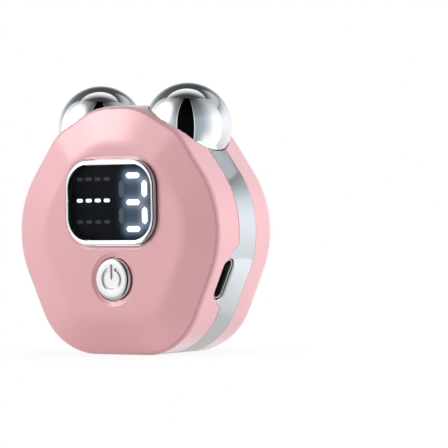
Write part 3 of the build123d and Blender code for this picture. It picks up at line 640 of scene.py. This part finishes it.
display_hole = round_box_ring(BEZEL_WIDTH + 2 * BEZEL_GAP, BEZEL_HEIGHT + 2 * BEZEL_GAP,
                              BEZEL_CORNER + BEZEL_GAP, DISPLAY_MIDDLE)
button_hole = circle_ring(BUTTON_RADIUS + BUTTON_GAP, BUTTON_MIDDLE)
for opening, dish in ((display_hole, BEZEL_DISH), (button_hole, BUTTON_DISH)):
    carve(front_shell, dish_tool(opening, *dish))
    carve(front_shell, solid("opening", opening, [(0, -FACE_DEPTH - 2), (0, -FACE_DEPTH + WALL + 1)]))
reworked(front_shell, round_face_openings)

# The charging port opens through the side wall, and the band reaches forward round its rear
# half.  The port's frame has X along the slot, Y to the front and Z outwards.
PORT_LONG = 8.94
PORT_THICK = 3.2
PORT_GAP = 0.22
PORT_LENGTH = 7.35
port_mount = next(m for m in frame["record"]["mounts"] if m["name"] == "charging_port")
port_middle = Vector(port_mount["pos_m"]) / MM
port_out = Vector(port_mount["axis"])
port_axes = Matrix((FORWARD.cross(port_out), FORWARD, port_out)).transposed().to_4x4()
port_frame = Matrix.Translation(port_middle) @ port_axes
PORT_DEPTH = -port_middle.y


def in_port(bm):
    """Moves rings from the front view into the port's frame, where depth runs inwards."""
    into = Matrix(((1, 0, 0, 0), (0, 0, 1, 0), (0, -1, 0, 0), (0, 0, 0, 1)))
    move(bm, port_frame @ into)
    return bm


def slot_ring(long, thick):
    """Maker of rings round a slot with round ends."""
    return round_box_ring(long, thick, thick / 2 - 0.001)


def port_tool():
    """Tool for the port's opening, with a rounded mouth."""
    ring = slot_ring(PORT_LONG + 2 * PORT_GAP, PORT_THICK + 2 * PORT_GAP)
    mouth = [(-LIP * (1 - cos(i * pi / 8)), LIP * (1 - sin(i * pi / 8))) for i in range(5)]
    return as_object("port_tool", in_port(skin(ring, [(0, PORT_LENGTH + 1)] + mouth + [(-LIP, -2)])[0]))


TAB_ABOVE = 6.2            # reach of the band's tab along the slot, from the port's middle
TAB_BELOW = 5.3
TAB_SLANT = 1.1            # its ends slant outwards by this much towards the band


def tab_tool(extra):
    """Prism over the band's tab.  It narrows towards the front, with slanted ends."""
    slope = TAB_SLANT / (PORT_DEPTH - BAND_HALF)
    reach = PORT_DEPTH - BAND_HALF + 1
    above, below = TAB_ABOVE + extra, TAB_BELOW + extra
    bm = bmesh.new()
    corners = [(-below, extra), (above, extra), (above + slope * reach, -reach),
               (-below - slope * reach, -reach)]
    face = bm.faces.new([bm.verts.new((x, y, -3 * WALL)) for x, y in corners])
    lifted = bmesh.ops.extrude_face_region(bm, geom=[face])["geom"]
    lifted = [v for v in lifted if isinstance(v, bmesh.types.BMVert)]
    bmesh.ops.translate(bm, verts=lifted, vec=(0, 0, 6 * WALL))
    move(bm, port_frame)
    bmesh.ops.recalc_face_normals(bm, faces=bm.faces)
    return as_object("tab_tool", bm)


carve(front_shell, tab_tool(HAIRLINE))
carve(front_shell, port_tool())

# The balls' seats are round cuts with a small rounding where they meet the outside.
SEAT_RADIUS = 9.40
SEAT_LIP = 0.15
SEAT_STEP = 0.24           # least distance of points along the lip round a ball
SEAT_REACH = 0.03          # a point this near the seat's radius is on it
SEAT_CORNER = radians(30)
SEAT_WELD = 0.02           # points of the cuts nearer than this are merged first
ball_frames = [aimed(Vector(j["axis"]), Vector(j["pos_m"]) / MM)
               for j in frame["joints"] if j["name"].endswith("ball_roll")]
ball_centres = [ball_frame.translation for ball_frame in ball_frames]


def ball_tool(centre, radius, steps=96):
    """Round tool."""
    bm = bmesh.new()
    bmesh.ops.create_uvsphere(bm, u_segments=steps, v_segments=steps * 2 // 3, radius=radius)
    move(bm, Matrix.Translation(centre))
    return as_object("ball_tool", bm)


def on_seat(part):
    """Whether all corners of an edge or face lie on a ball's seat."""
    return all(any(abs((v.co - c).length - SEAT_RADIUS) < SEAT_REACH for c in ball_centres)
               for v in part.verts)


def seat_rims(bm):
    """Edges where the seats meet the outside."""
    bm.normal_update()
    rims = []
    for edge in bm.edges:
        if not edge.is_manifold or not on_seat(edge):
            continue
        others = [f for f in edge.link_faces if not on_seat(f)]
        if len(others) != 1:
            continue
        outward = edge.verts[0].co - Vector((0, 0, BODY_MIDDLE.z))
        outward.y *= 2
        if others[0].normal.dot(outward) > 0.3 * outward.length and edge.calc_face_angle() > SEAT_CORNER:
            rims.append(edge)
    return rims


def round_seat_rims(bm):
    """Rounds the outer edges of the seats, after points that crowd them are merged."""
    weld(bm, SEAT_WELD)
    rims = set(seat_rims(bm))
    crowded = [v for v in bm.verts if any(e in rims for e in v.link_edges)]
    bmesh.ops.remove_doubles(bm, verts=crowded, dist=SEAT_STEP)
    round_edges(bm, seat_rims(bm), SEAT_LIP)


def cut_seats(shell):
    """Cuts the balls' seats into a shell and rounds their rims."""
    for centre in ball_centres:
        carve(shell, ball_tool(centre, SEAT_RADIUS))
    reworked(shell, round_seat_rims)


cut_seats(front_shell)
complete(front_shell, "body", "pink_shell", pink_plastic, "front_shell")

# ---------------- rear shell
# The rear half is moulded in the same pink and has a softer edge.  It is plain outside.
REAR_EDGE_RADIUS = 2.8
rear_shell = as_object("rear_shell_moulding", shell_half(1, REAR_EDGE_RADIUS, 12))
carve(rear_shell, hollow(1))
cut_seats(rear_shell)
complete(rear_shell, "body", "pink_shell", pink_plastic, "rear_shell")

# ---------------- plated band
# A plated moulding closes the seam between the shells.  It reaches forward round the rear
# half of the charging port, and carries the round sockets that the balls sit in.
SOCKET_RADIUS = 9.46
SOCKET_WALL = 1.0
SOCKET_FIT = 0.05
COLLAR_RADIUS = 2.4
TRENCH = WALL - 0.4        # inset of the sockets where they meet the band
PORT_REACH = 6.5           # the band's rim is left sharp this near the port
band = solid("plated_band_ring", body_ring, [
    (draft_inset(PORT_DEPTH), -PORT_DEPTH), (draft_inset(0), 0),
    (draft_inset(BAND_HALF), BAND_HALF - HAIRLINE / 2)])
band_front = solid("band_front", round_box_ring(4 * WAIST[0], 4 * CROWN[1], 1), [
    (0, -2 * PORT_DEPTH), (0, -BAND_HALF + HAIRLINE / 2)])
carve(band_front, tab_tool(0))
carve(band, band_front)
carve(band, solid("band_inside", body_ring, [
    (WALL, -2 * PORT_DEPTH), (WALL - SIDE_DRAFT, 0), (WALL, 2 * PORT_DEPTH)]))


def rod(matrix, radius, long, steps):
    """Round tool about its own Z."""
    bm = bmesh.new()
    bmesh.ops.create_cone(bm, cap_ends=True, segments=steps, radius1=radius, radius2=radius, depth=long)
    move(bm, matrix)
    return as_object("rod", bm)


def socket(centre):
    """Round socket behind a ball, trimmed to the hollow of the body."""
    cup = ball_tool(centre, SOCKET_RADIUS + SOCKET_WALL)
    room = WALL + SOCKET_FIT
    back = CREASE_DEPTH - WALL
    face = FACE_DEPTH - room
    half = [(TRENCH, BAND_HALF), (room, BAND_HALF), (room, back), (BORDER_WIDTH, face)]
    profile = [(inset, -depth) for inset, depth in reversed(half)] + half
    carve(cup, solid("room", body_ring, profile), "INTERSECT")
    return cup


for centre in ball_centres:
    carve(band, socket(centre), "UNION")
for ball_frame in ball_frames:
    carve(band, ball_tool(ball_frame.translation, SOCKET_RADIUS))
    below = ball_frame @ Matrix.Translation((0, 0, -SOCKET_RADIUS))
    carve(band, rod(below, COLLAR_RADIUS, 2 * SOCKET_RADIUS + 4, 48))


def is_outside(face):
    """Whether a face of the band looks out of the body."""
    outward = face.calc_center_median() - Vector((0, 0, BODY_MIDDLE.z))
    outward.y = 0
    return abs(face.normal.y) < 0.2 and face.normal.dot(outward.normalized()) > 0.6


def is_edge_on(face):
    """Whether a face bounds the band or its tab at the front, the rear or an end."""
    on_tab_end = face.normal.dot(port_out) < 0.1 and face.calc_center_median().y < 0
    return on_tab_end or abs(face.normal.y) > 0.9


def round_band_rims(bm):
    """Rounds the outer edges of the band and its tab."""
    weld(bm)
    rims = []
    for edge in bm.edges:
        if not edge.is_manifold or edge.calc_face_angle() < CORNER_ANGLE:
            continue
        one, other = edge.link_faces
        if is_outside(other):
            one, other = other, one
        place = edge.verts[0].co
        near_port = (place - port_middle).length < PORT_REACH and place.y > -BAND_HALF
        near_ball = any((place - c).length < SOCKET_RADIUS + 0.1 for c in ball_centres)
        if is_outside(one) and is_edge_on(other) and not near_ball and not near_port:
            rims.append(edge)
    round_edges(bm, rims, LIP)


reworked(band, round_band_rims)
carve(band, port_tool())

# Plating over smooth plastic: bright, with faint wipe marks from polishing.
WIPE_STRETCH = 14
WIPE_LINES = 6.0           # lines to a smear
WIPE_TINT = 0.5            # how much of the wipe shows in the colour
polish_marks, given = start_effect("polish_marks", "Roughness", "Wipe", "Wipe Size")
tree = polish_marks
place = object_place(tree)
per_size = calc(tree, "DIVIDE", 1.0, given["Wipe Size"])
smear = calc(tree, "SUBTRACT", noise(tree, place, per_size, 3.0, 0.8), 0.5)
squeezed = add(tree, "Mapping", {"Vector": place, "Scale": (1, 1, WIPE_STRETCH)}).outputs[0]
lines = noise(tree, squeezed, times(tree, per_size, WIPE_LINES), 2.0)
uneven = calc(tree, "ADD", smear, calc(tree, "SUBTRACT", lines, 0.5))
value = calc(tree, "MULTIPLY_ADD", smear, times(tree, given["Wipe"], WIPE_TINT), 1.0)
end_effect(tree, given["Colour"], value,
           calc(tree, "MULTIPLY_ADD", uneven, given["Wipe"], given["Roughness"], clamp=True), lines)


def polished(name, colour, roughness, wipe, size, metal=1.0, **sockets):
    """Material with wipe marks, whose size is in millimetres."""
    settings = {"Roughness": roughness, "Wipe": wipe, "Wipe Size": size * MM}
    return finish(name, colour, polish_marks, settings, Metallic=metal, **sockets)


plating = polished("satin_plating", (0.80, 0.82, 0.85), 0.085, 0.03, 6)
complete(band, "body", "plated_band", plating, "mid_band")

# ---------------- display frame
# A bright plated frame stands round the display.  Its front has a fine groove, and a flange
# behind the shell holds it in.
BEZEL_FRONT = -13.0
BEZEL_RIM = 0.95
BEZEL_FLANGE = (0.75, 0.8) # width and thickness
BEZEL_CHAMFER = (0.26, 0.21)
BEZEL_ROUNDING = 0.05
RIM_ROUNDING = 0.1
BEZEL_SIDES = 0.70         # its rim is slimmer at the sides, by this share
GROOVE = ((0.52, 0), (0.60, 0.03), (0.68, 0))    # insets and depths
LENS_BACK = -11.4
LENS_LEDGE = 0.6
LEDGE_FRONT = -11.1
INNER_FACE = -FACE_DEPTH + WALL
display_ring = round_box_ring(BEZEL_WIDTH, BEZEL_HEIGHT, BEZEL_CORNER, DISPLAY_MIDDLE)
ledge = BEZEL_RIM + LENS_LEDGE


def slim(inset):
    """Inset from the frame's outside, less at the sides."""
    return (inset * BEZEL_SIDES, inset)


bezel_line = [
    (ledge, INNER_FACE + BEZEL_FLANGE[1]), (-BEZEL_FLANGE[0], INNER_FACE + BEZEL_FLANGE[1]),
    (-BEZEL_FLANGE[0], INNER_FACE), (0, INNER_FACE),
    (0, BEZEL_FRONT + BEZEL_CHAMFER[1]), (BEZEL_CHAMFER[0], BEZEL_FRONT)]
bezel_line += [(slim(inset), BEZEL_FRONT + deep) for inset, deep in GROOVE + ((BEZEL_RIM, 0),)]
bezel_line += [(slim(BEZEL_RIM), LEDGE_FRONT), (ledge, LEDGE_FRONT)]
bm, rings = skin(display_ring, bezel_line, closed=True)
round_edges(bm, rings[4] + rings[5], BEZEL_ROUNDING)
round_edges(bm, rings[9], RIM_ROUNDING)
bright_plating = polished("bright_plating", (0.93, 0.93, 0.935), 0.07, 0.02, 5)
complete(as_object("display_frame", bm), "body", "bezel_silver", bright_plating, "display_bezel")

# ---------------- display lens
# The window is smoked acrylic, polished and softly rounded towards its edge.  It neither
# bends nor mirrors light, which keeps the dark half of the display free of grain.
LENS_FRONT = -12.55
LENS_FIT = 0.05
LENS_EDGE = ((LENS_FIT, 0.26), (0.16, 0.20), (1.2, 0.03), (1.6, 0.006), (2.1, 0))    # insets and depths
lens_line = [(slim(BEZEL_RIM + LENS_FIT), LENS_BACK)]
lens_line += [(slim(BEZEL_RIM + inset), LENS_FRONT + deep) for inset, deep in LENS_EDGE]
smoked = polished("smoked_acrylic", (0.74, 0.76, 0.79), 0.02, 0.01, 6, metal=0.0,
                  Transmission_Weight=1.0, IOR=1.0)
complete(solid("display_window", display_ring, lens_line), "body", "smoked_lens", smoked, "display_lens")

# ---------------- display inside
# Behind the window a black block holds milky light guides: five lit strokes that show a
# three, two dark ones, and three rows of dashes for the modes, the middle row lit.  The
# block's brim lies between the window and the frame's ledge.
REFLECTOR_FRONT = -11.35
REFLECTOR_BACK = -7.35
GUIDE_PROUD = 0.02
GUIDE_THICK = 1.0
DIGIT_X = 5.07
DIGIT_HALF = 2.95
STROKE_RISE = 5.6
STROKE_LONG = 3.7
STROKE_WIDE = 1.38
LEVEL_WIDE = 1.2           # the level strokes are a little thinner
STROKE_ROUNDING = 0.2
STROKE_TIP = 0.92          # length of a stroke's point, in half widths
DASH_X = -5.3
DASH_LIFT = 0.45
DASH_ROW_RISE = 4.5
DASH_ROW_LONG = 8.6
DASH_COUNT = 4
DASH_LONG = 1.5
DASH_WIDE = 0.72
half_rises = (-STROKE_RISE / 2, STROKE_RISE / 2)
lit_strokes = [(DIGIT_X, z, STROKE_LONG, LEVEL_WIDE) for z in (-STROKE_RISE, 0, STROKE_RISE)]
lit_strokes += [(DIGIT_X + DIGIT_HALF, z, STROKE_WIDE, STROKE_LONG) for z in half_rises]
dark_strokes = [(DIGIT_X - DIGIT_HALF, z, STROKE_WIDE, STROKE_LONG) for z in half_rises]


def dash_row(z):
    """Places and sizes of one row of dashes."""
    step = (DASH_ROW_LONG - DASH_LONG) / (DASH_COUNT - 1)
    first = DASH_X - (DASH_ROW_LONG - DASH_LONG) / 2
    return [(first + i * step, z, DASH_LONG, DASH_WIDE) for i in range(DASH_COUNT)]


def stroke_ring(x, z, wide, tall):
    """Maker of rings round a stroke with pointed ends, or a dash with round ones."""
    middle = (DISPLAY_MIDDLE[0] + x, DISPLAY_MIDDLE[1] + z)
    half, thick = max(wide, tall) / 2, min(wide, tall) / 2
    if half < STROKE_WIDE:
        return round_box_ring(wide, tall, thick - 0.01, middle)

    def ring(bm, inset, depth):
        tip, side = half - inset * 1.4, thick - inset
        straight = tip - side * STROKE_TIP
        corners = [(tip, 0), (straight, side), (-straight, side),
                   (-tip, 0), (-straight, -side), (straight, -side)]
        if tall > wide:
            corners = [(-b, a) for a, b in corners]
        centred = [(middle[0] + a, middle[1] + b) for a, b in corners]
        return add_ring(bm, centred, [STROKE_ROUNDING] * 6, depth)
    return ring


def guides(name, strokes, spread=0.0, front=REFLECTOR_FRONT - GUIDE_PROUD,
           back=REFLECTOR_FRONT + GUIDE_THICK):
    """One piece for a set of strokes."""
    bm = bmesh.new()
    for one in strokes:
        skin(stroke_ring(*one), [(-spread, back), (-spread, front)], bm=bm)
    return as_object(name, bm)


mode_rows = [dash_row(row * DASH_ROW_RISE + DASH_LIFT) for row in (-1, 0, 1)]
brim = slim(BEZEL_RIM + LENS_FIT)
reflector = solid("display_light_block", display_ring, [
    (ledge + LENS_FIT, REFLECTOR_BACK), (ledge + LENS_FIT, LEDGE_FRONT - HAIRLINE),
    (brim, LEDGE_FRONT - HAIRLINE), (brim, REFLECTOR_FRONT)])
all_strokes = lit_strokes + dark_strokes + sum(mode_rows, [])
carve(reflector, guides("windows", all_strokes, HAIRLINE / 2, REFLECTOR_FRONT - 1, REFLECTOR_BACK + 1))

# Stray light is painted on the black block as a glowing blue haze round the digit and a halo round each lit
# stroke.
HAZE = (0.15, 0.001, 5.2)  # strength near the digit, strength elsewhere and reach
HAZE_HALF = (0.6, 0.8)     # the haze's core, in halves of the digit's width and rises of a stroke
HALO = (0.22, 1.05)        # strength and reach
HALO_INSET = 0.3           # a halo starts this far inside its stroke
HAZE_BLUE = (0.42, 0.66, 1.0, 1)
HALO_BLUE = (0.66, 0.80, 1.0, 1)
BLUE_STRENGTHS = (0.05, 0.4)           # one blue turns into the other between these


def distance_to_box(tree, place, x, z, half_x, half_z):
    """Distance from a box in the plane of the display, in metres.  The box is very deep."""
    middle = Vector((DISPLAY_MIDDLE[0] + x, 0, DISPLAY_MIDDLE[1] + z)) * MM
    near = vector_calc(tree, "ABSOLUTE", vector_calc(tree, "SUBTRACT", place, middle))
    near = vector_calc(tree, "SUBTRACT", near, (half_x * MM, 1, half_z * MM))
    return vector_calc(tree, "LENGTH", vector_calc(tree, "MAXIMUM", near, (0, 0, 0)))


def emit(material, light, strength):
    """Makes a material glow."""
    inputs = material.node_tree.nodes["Principled BSDF"].inputs
    material.node_tree.links.new(light, inputs["Emission Color"])
    inputs["Emission Strength"].default_value = strength


black = moulded("black_light_block", (0.004, 0.0045, 0.006), 0.1, 0.12, 4, Specular_IOR_Level=0.10)
tree = black.node_tree
place = object_place(tree)
from_digit = distance_to_box(tree, place, DIGIT_X + 1, 0,
                             DIGIT_HALF * HAZE_HALF[0], STROKE_RISE * HAZE_HALF[1])
fading = ease(tree, from_digit, HAZE[2] * MM, 0.0)
haze = calc(tree, "MULTIPLY_ADD", times(tree, fading, fading), HAZE[0], HAZE[1])
for x, z, wide, tall in lit_strokes:
    near = distance_to_box(tree, place, x, z, wide / 2 - HALO_INSET, tall / 2 - HALO_INSET)
    share = calc(tree, "DIVIDE", near, HALO[1] * MM)
    halo = calc(tree, "EXPONENT", times(tree, share, share, -1.0))
    haze = calc(tree, "MULTIPLY_ADD", halo, HALO[0], haze)
haze_colour = blend(tree, ease(tree, haze, *BLUE_STRENGTHS), HAZE_BLUE, HALO_BLUE)
haze_light = add(tree, "VectorMath", {0: haze_colour, "Scale": haze}, operation="SCALE").outputs[0]
emit(black, haze_light, 1.0)
complete(reflector, "body", "black_plastic", black, "display_reflector")

GUIDE_CLOUDS = 700.0
GUIDE_EVEN = (0.12, 0.94)  # how much the clouds vary the light, and its least


def glowing(name, colour, light, strength):
    """Milky light guide, a little cloudy."""
    material = moulded(name, colour, 0.04, 0.4, 0.08, 0.1, Specular_IOR_Level=0.1)
    tree = material.node_tree
    even = calc(tree, "MULTIPLY_ADD", noise(tree, object_place(tree), GUIDE_CLOUDS, 2.0), *GUIDE_EVEN)
    emit(material, add(tree, "HueSaturation", {"Color": (*light, 1), "Value": even}).outputs[0], strength)
    return material


lit_guide = glowing("lit_light_guide", (0.85, 0.88, 0.92), (0.90, 0.96, 1.0), 1.3)
# The dark strokes and dashes carry a faint painted glow, which stands in for stray light from the lit ones.
dark_guide = glowing("dark_light_guide", (0.05, 0.055, 0.065), (0.65, 0.78, 0.95), 0.075)
faint_guide = glowing("faint_light_guide", (0.025, 0.026, 0.028), (0.9, 0.95, 1.0), 0.022)
complete(guides("digit_strokes_lit", lit_strokes), "body", "lit_guides", lit_guide, "segment_guides_lit")
complete(guides("digit_strokes_dark", dark_strokes), "body", "dim_guides", dark_guide, "segment_guides_dim")
complete(guides("mode_dashes_lit", mode_rows[1]), "body", "lit_guides", lit_guide)
complete(guides("mode_dashes_dark", mode_rows[0] + mode_rows[2]), "body", "dim_guides", faint_guide,
         "mode_bar_guides")

# ---------------- push button
# A round cap with a broad rounded rim and a dished middle, plated in bright pearl silver.
# The power symbol is pressed into it with a round-bottomed line.
BUTTON_FRONT = -12.55
BUTTON_FLANGE = 5.2
STEM_RADIUS = 1.2
STEM_END = -8.3
SYMBOL_RADIUS = 2.28       # middle of the symbol's line
SYMBOL_LINE = 0.36         # half its width
SYMBOL_GAP = radians(28)
SYMBOL_BAR = (0.32, 2.8)
SYMBOL_DEPTH = 0.02        # the line's middle lies this far below the face
TUBE_STEPS = 24
DISH = 0.08
DISH_RADIUS = 3.3
cap_line = [(0, DISH), (0.9, DISH * 0.98), (1.8, DISH * 0.85), (2.5, DISH * 0.5), (3.0, DISH * 0.12),
            (3.35, 0), (3.70, 0.03), (4.00, 0.12), (4.23, 0.28), (4.39, 0.52), (BUTTON_RADIUS, 0.9),
            (BUTTON_RADIUS, 2.2), (BUTTON_FLANGE, 2.2), (BUTTON_FLANGE, 3.0), (STEM_RADIUS, 3.0),
            (STEM_RADIUS, STEM_END - BUTTON_FRONT), (0, STEM_END - BUTTON_FRONT)]
button_middle = Vector((BUTTON_MIDDLE[0], BUTTON_FRONT, BUTTON_MIDDLE[1]))


def turned(points, middle, axis, steps):
    """Turns a line of points round an axis."""
    bm = bmesh.new()
    verts = [bm.verts.new(point) for point in points]
    edges = [bm.edges.new(pair) for pair in zip(verts, verts[1:])]
    bmesh.ops.spin(bm, geom=verts + edges, cent=middle, axis=axis, angle=2 * pi, steps=steps,
                   use_merge=True)
    weld(bm)
    bmesh.ops.recalc_face_normals(bm, faces=bm.faces)
    return bm


def on_cap(angle, radius):
    """Middle of the symbol's line on the dished face.  Angle 0 is up."""
    depth = DISH * max(0, 1 - (radius / DISH_RADIUS) ** 3) + SYMBOL_DEPTH
    return button_middle + Vector((radius * sin(angle), depth, radius * cos(angle)))


button = as_object("power_button_cap", turned([button_middle + Vector((r, d, 0)) for r, d in cap_line],
                                              button_middle, (0, 1, 0), 96))
line_middle = on_cap(0, SYMBOL_RADIUS)
bm = bmesh.new()
section = bmesh.ops.create_circle(bm, segments=TUBE_STEPS, radius=SYMBOL_LINE, cap_ends=True)["verts"]
bmesh.ops.translate(bm, verts=section, vec=line_middle)
for pivot, angle in ((line_middle, pi / 2), (button_middle, SYMBOL_GAP)):
    bmesh.ops.rotate(bm, verts=section, cent=pivot, matrix=Matrix.Rotation(angle, 3, "Y"))
bmesh.ops.spin(bm, geom=bm.verts[:] + bm.edges[:] + bm.faces[:], cent=button_middle, axis=(0, 1, 0),
               angle=2 * pi - 2 * SYMBOL_GAP, steps=72)
bmesh.ops.recalc_face_normals(bm, faces=bm.faces)
carve(button, as_object("symbol_ring", bm))
bar_ends = [on_cap(0, radius) for radius in SYMBOL_BAR]
bar = bar_ends[1] - bar_ends[0]
carve(button, rod(aimed(bar, (bar_ends[0] + bar_ends[1]) / 2), SYMBOL_LINE, bar.length, TUBE_STEPS))
for end in [on_cap(angle, SYMBOL_RADIUS) for angle in (SYMBOL_GAP, -SYMBOL_GAP)] + bar_ends:
    carve(button, ball_tool(end, SYMBOL_LINE * 0.998, TUBE_STEPS))
pearl = polished("pearl_silver", (0.73, 0.725, 0.73), 0.12, 0.03, 2)
complete(button, "button", "pearl_button", pearl, "power_button")

# ---------------- charging port
# The receptacle is drawn from one piece of steel with a rolled mouth.  A black tongue inside
# it carries gold-flashed contacts on both faces.
PORT_METAL = 0.3
PORT_RECESS = 0.35
PORT_BACK = 0.8
lip = PORT_METAL / 2
rolled = [(lip * (1 - cos(i * pi / 6)), PORT_RECESS + lip * (1 - sin(i * pi / 6))) for i in range(7)]
bm, rings = skin(slot_ring(PORT_LONG, PORT_THICK),
                 [(0, PORT_LENGTH)] + rolled + [(PORT_METAL, PORT_LENGTH - PORT_BACK)])
steel = polished("drawn_steel", (0.80, 0.78, 0.77), 0.22, 0.08, 1.5)
complete(as_object("port_receptacle", in_port(bm)), "body", "port_steel", steel, "port_shell")


def refinish(material, *nodes):
    """Gives pieces of the frame their own material."""
    for node in nodes:
        for place in frame["nodes"][node].material_slots:
            place.material = material


refinish(moulded("black_nylon", (0.012, 0.011, 0.011), 0.15, 0.42, 0.12, 0.3), "port_tongue")
refinish(polished("gold_flash", (0.86, 0.63, 0.28), 0.22, 0.10, 0.8), "port_contacts")

# ---------------- rolling balls
# Each ball is turned, polished to a mirror and plated.  It has a blind bore from below for
# the brass bush that it rolls on.
BALL_RADIUS = 9.25
BORE_RADIUS = 3.0
BORE_TOP = 3.95
BORE_ROUNDING = 0.25
BALL_STEPS = 120
chrome = polished("mirror_chrome", (0.93, 0.94, 0.95), 0.022, 0.010, 5)
bore_edge = pi - (BORE_RADIUS + BORE_ROUNDING) / BALL_RADIUS
angles = [bore_edge * i / BALL_STEPS for i in range(BALL_STEPS + 1)]
ball_line = [(BALL_RADIUS * sin(angle), 0, BALL_RADIUS * cos(angle)) for angle in angles]
mouth_height = ball_line[-1][2]
ball_line += [(BORE_RADIUS + BORE_ROUNDING * 0.3, 0, mouth_height + BORE_ROUNDING * 0.15),
              (BORE_RADIUS, 0, mouth_height + BORE_ROUNDING), (BORE_RADIUS, 0, BORE_TOP), (0, 0, BORE_TOP)]
for ball_frame in ball_frames:
    side = "left" if ball_frame.translation.x < 0 else "right"
    bm = turned(ball_line, (0, 0, 0), (0, 0, 1), 180)
    move(bm, ball_frame)
    complete(as_object("rolling_ball_" + side, bm), side + "_ball", "ball_chrome", chrome, "ball_" + side,
             flat_faces=False)

# ---------------- ball axles
# Behind each ball a stainless axle carries current and warmth: a brass bush turns on it, a
# spring clip holds the ball, and a rubber seal, a ceramic heater, a terminal and a nut follow.
stainless = polished("turned_stainless", (0.62, 0.61, 0.60), 0.22, 0.15, 0.9)
ceramic = moulded("fired_ceramic", (0.74, 0.66, 0.53), 0.25, 0.55, 0.10, 0.5)
silicone = moulded("red_silicone", (0.50, 0.025, 0.02), 0.12, 0.42, 0.25, 0.15)
for node, material in {
        "ball_bush": polished("turned_brass", (0.80, 0.60, 0.29), 0.25, 0.15, 0.7),
        "ball_axle": stainless,
        "axle_clip": polished("spring_steel", (0.22, 0.22, 0.24), 0.32, 0.15, 0.5),
        "axle_seal": moulded("seal_rubber", (0.035, 0.035, 0.037), 0.2, 0.62, 0.15, 0.4),
        "axle_heater": ceramic,
        "axle_terminal": polished("tinned_brass", (0.74, 0.73, 0.70), 0.35, 0.2, 0.6),
        "axle_nut": stainless,
        "ball_lead": silicone}.items():
    refinish(material, node + "_left", node + "_right")

# ---------------- circuit boards
# Two green boards of woven glass under solder mask.  The small one holds the display's light
# chips.  The large one holds the switch, the port, the drive chips and the pulse transformer.
zinc = polished("zinc_plate", (0.66, 0.67, 0.69), 0.30, 0.18, 1.2)
moulded_black = moulded("moulded_black", (0.020, 0.020, 0.021), 0.15, 0.48, 0.14, 0.35)
natural_nylon = moulded("natural_nylon", (0.80, 0.78, 0.72), 0.06, 0.40, 0.2, 0.2,
                        Subsurface_Weight=0.15, Subsurface_Scale=0.6 * MM)
phosphor = moulded("light_phosphor", (0.86, 0.80, 0.42), 0.15, 0.38, 0.06, 0.5)
solder_mask = moulded("solder_mask", (0.020, 0.160, 0.070), 0.15, 0.30, 0.3,
                      Coat_Weight=0.4, Coat_Roughness=0.1)
enamel_wire = polished("enamelled_wire", (0.62, 0.24, 0.10), 0.28, 0.15, 0.5)
WAVE_PITCH = 0.314         # pitch of a wave texture at scale 1


def bands(material, axis, pitch, colour_share, other, strength):
    """Adds lines of a pitch in millimetres to a material, as relief and as a second colour."""
    tree = material.node_tree
    wave = {"Vector": object_place(tree), "Scale": WAVE_PITCH / (pitch * MM), "Distortion": 0.3}
    lines = add(tree, "TexWave", wave, bands_direction=axis).outputs["Fac"]
    relieve(material, lines, strength, 0.2 * pitch)
    base = tree.nodes["Principled BSDF"].inputs["Base Color"]
    share = times(tree, lines, colour_share)
    tree.links.new(blend(tree, share, base.links[0].from_socket, (*other, 1)), base)


bands(solder_mask, "X", 1.3, 0.35, (0.03, 0.24, 0.11), 0.25)
bands(enamel_wire, "Z", 0.22, 0.6, (0.20, 0.06, 0.02), 1.0)
refinish(solder_mask, "display_board", "main_board")
refinish(phosphor, "display_leds")
refinish(zinc, "display_screws", "board_screws")
refinish(moulded_black, "board_link_header", "switch_body", "board_chips")
refinish(natural_nylon, "switch_plunger", "battery_connector")
refinish(enamel_wire, "pulse_transformer")
refinish(ceramic, "board_capacitors")

# ---------------- battery
# A flat pouch cell in crinkled laminate foil lies on a foam pad behind the board, and two
# silicone leads run from it to the board.
CRINKLE = 1.6
CELL = 0.45
foil = polished("pouch_foil", (0.66, 0.67, 0.69), 0.34, 0.25, 3)
foam = moulded("grey_foam", (0.11, 0.11, 0.12), 0.3, 0.85, 0.3, Sheen_Weight=0.3)
tree = foil.node_tree
relieve(foil, noise(tree, object_place(tree), 1 / (CRINKLE * MM), 2.0, 1.2), 0.5, 0.3 * CRINKLE)
tree = foam.node_tree
cells = add(tree, "TexVoronoi", {"Vector": object_place(tree), "Scale": 1 / (CELL * MM)})
relieve(foam, cells.outputs["Distance"], 1.0, 0.3 * CELL)
refinish(foil, "battery_cell")
refinish(foam, "battery_foam_pad")
refinish(silicone, "battery_leads")

# ---------------- inner frame
# A moulded frame holds the board, the cell and the axles between the shells.  Its screws are
# zinc plated.
refinish(moulded("frame_nylon", (0.74, 0.73, 0.70), 0.05, 0.46, 0.25, 0.3), "inner_frame")
refinish(zinc, "frame_screws")
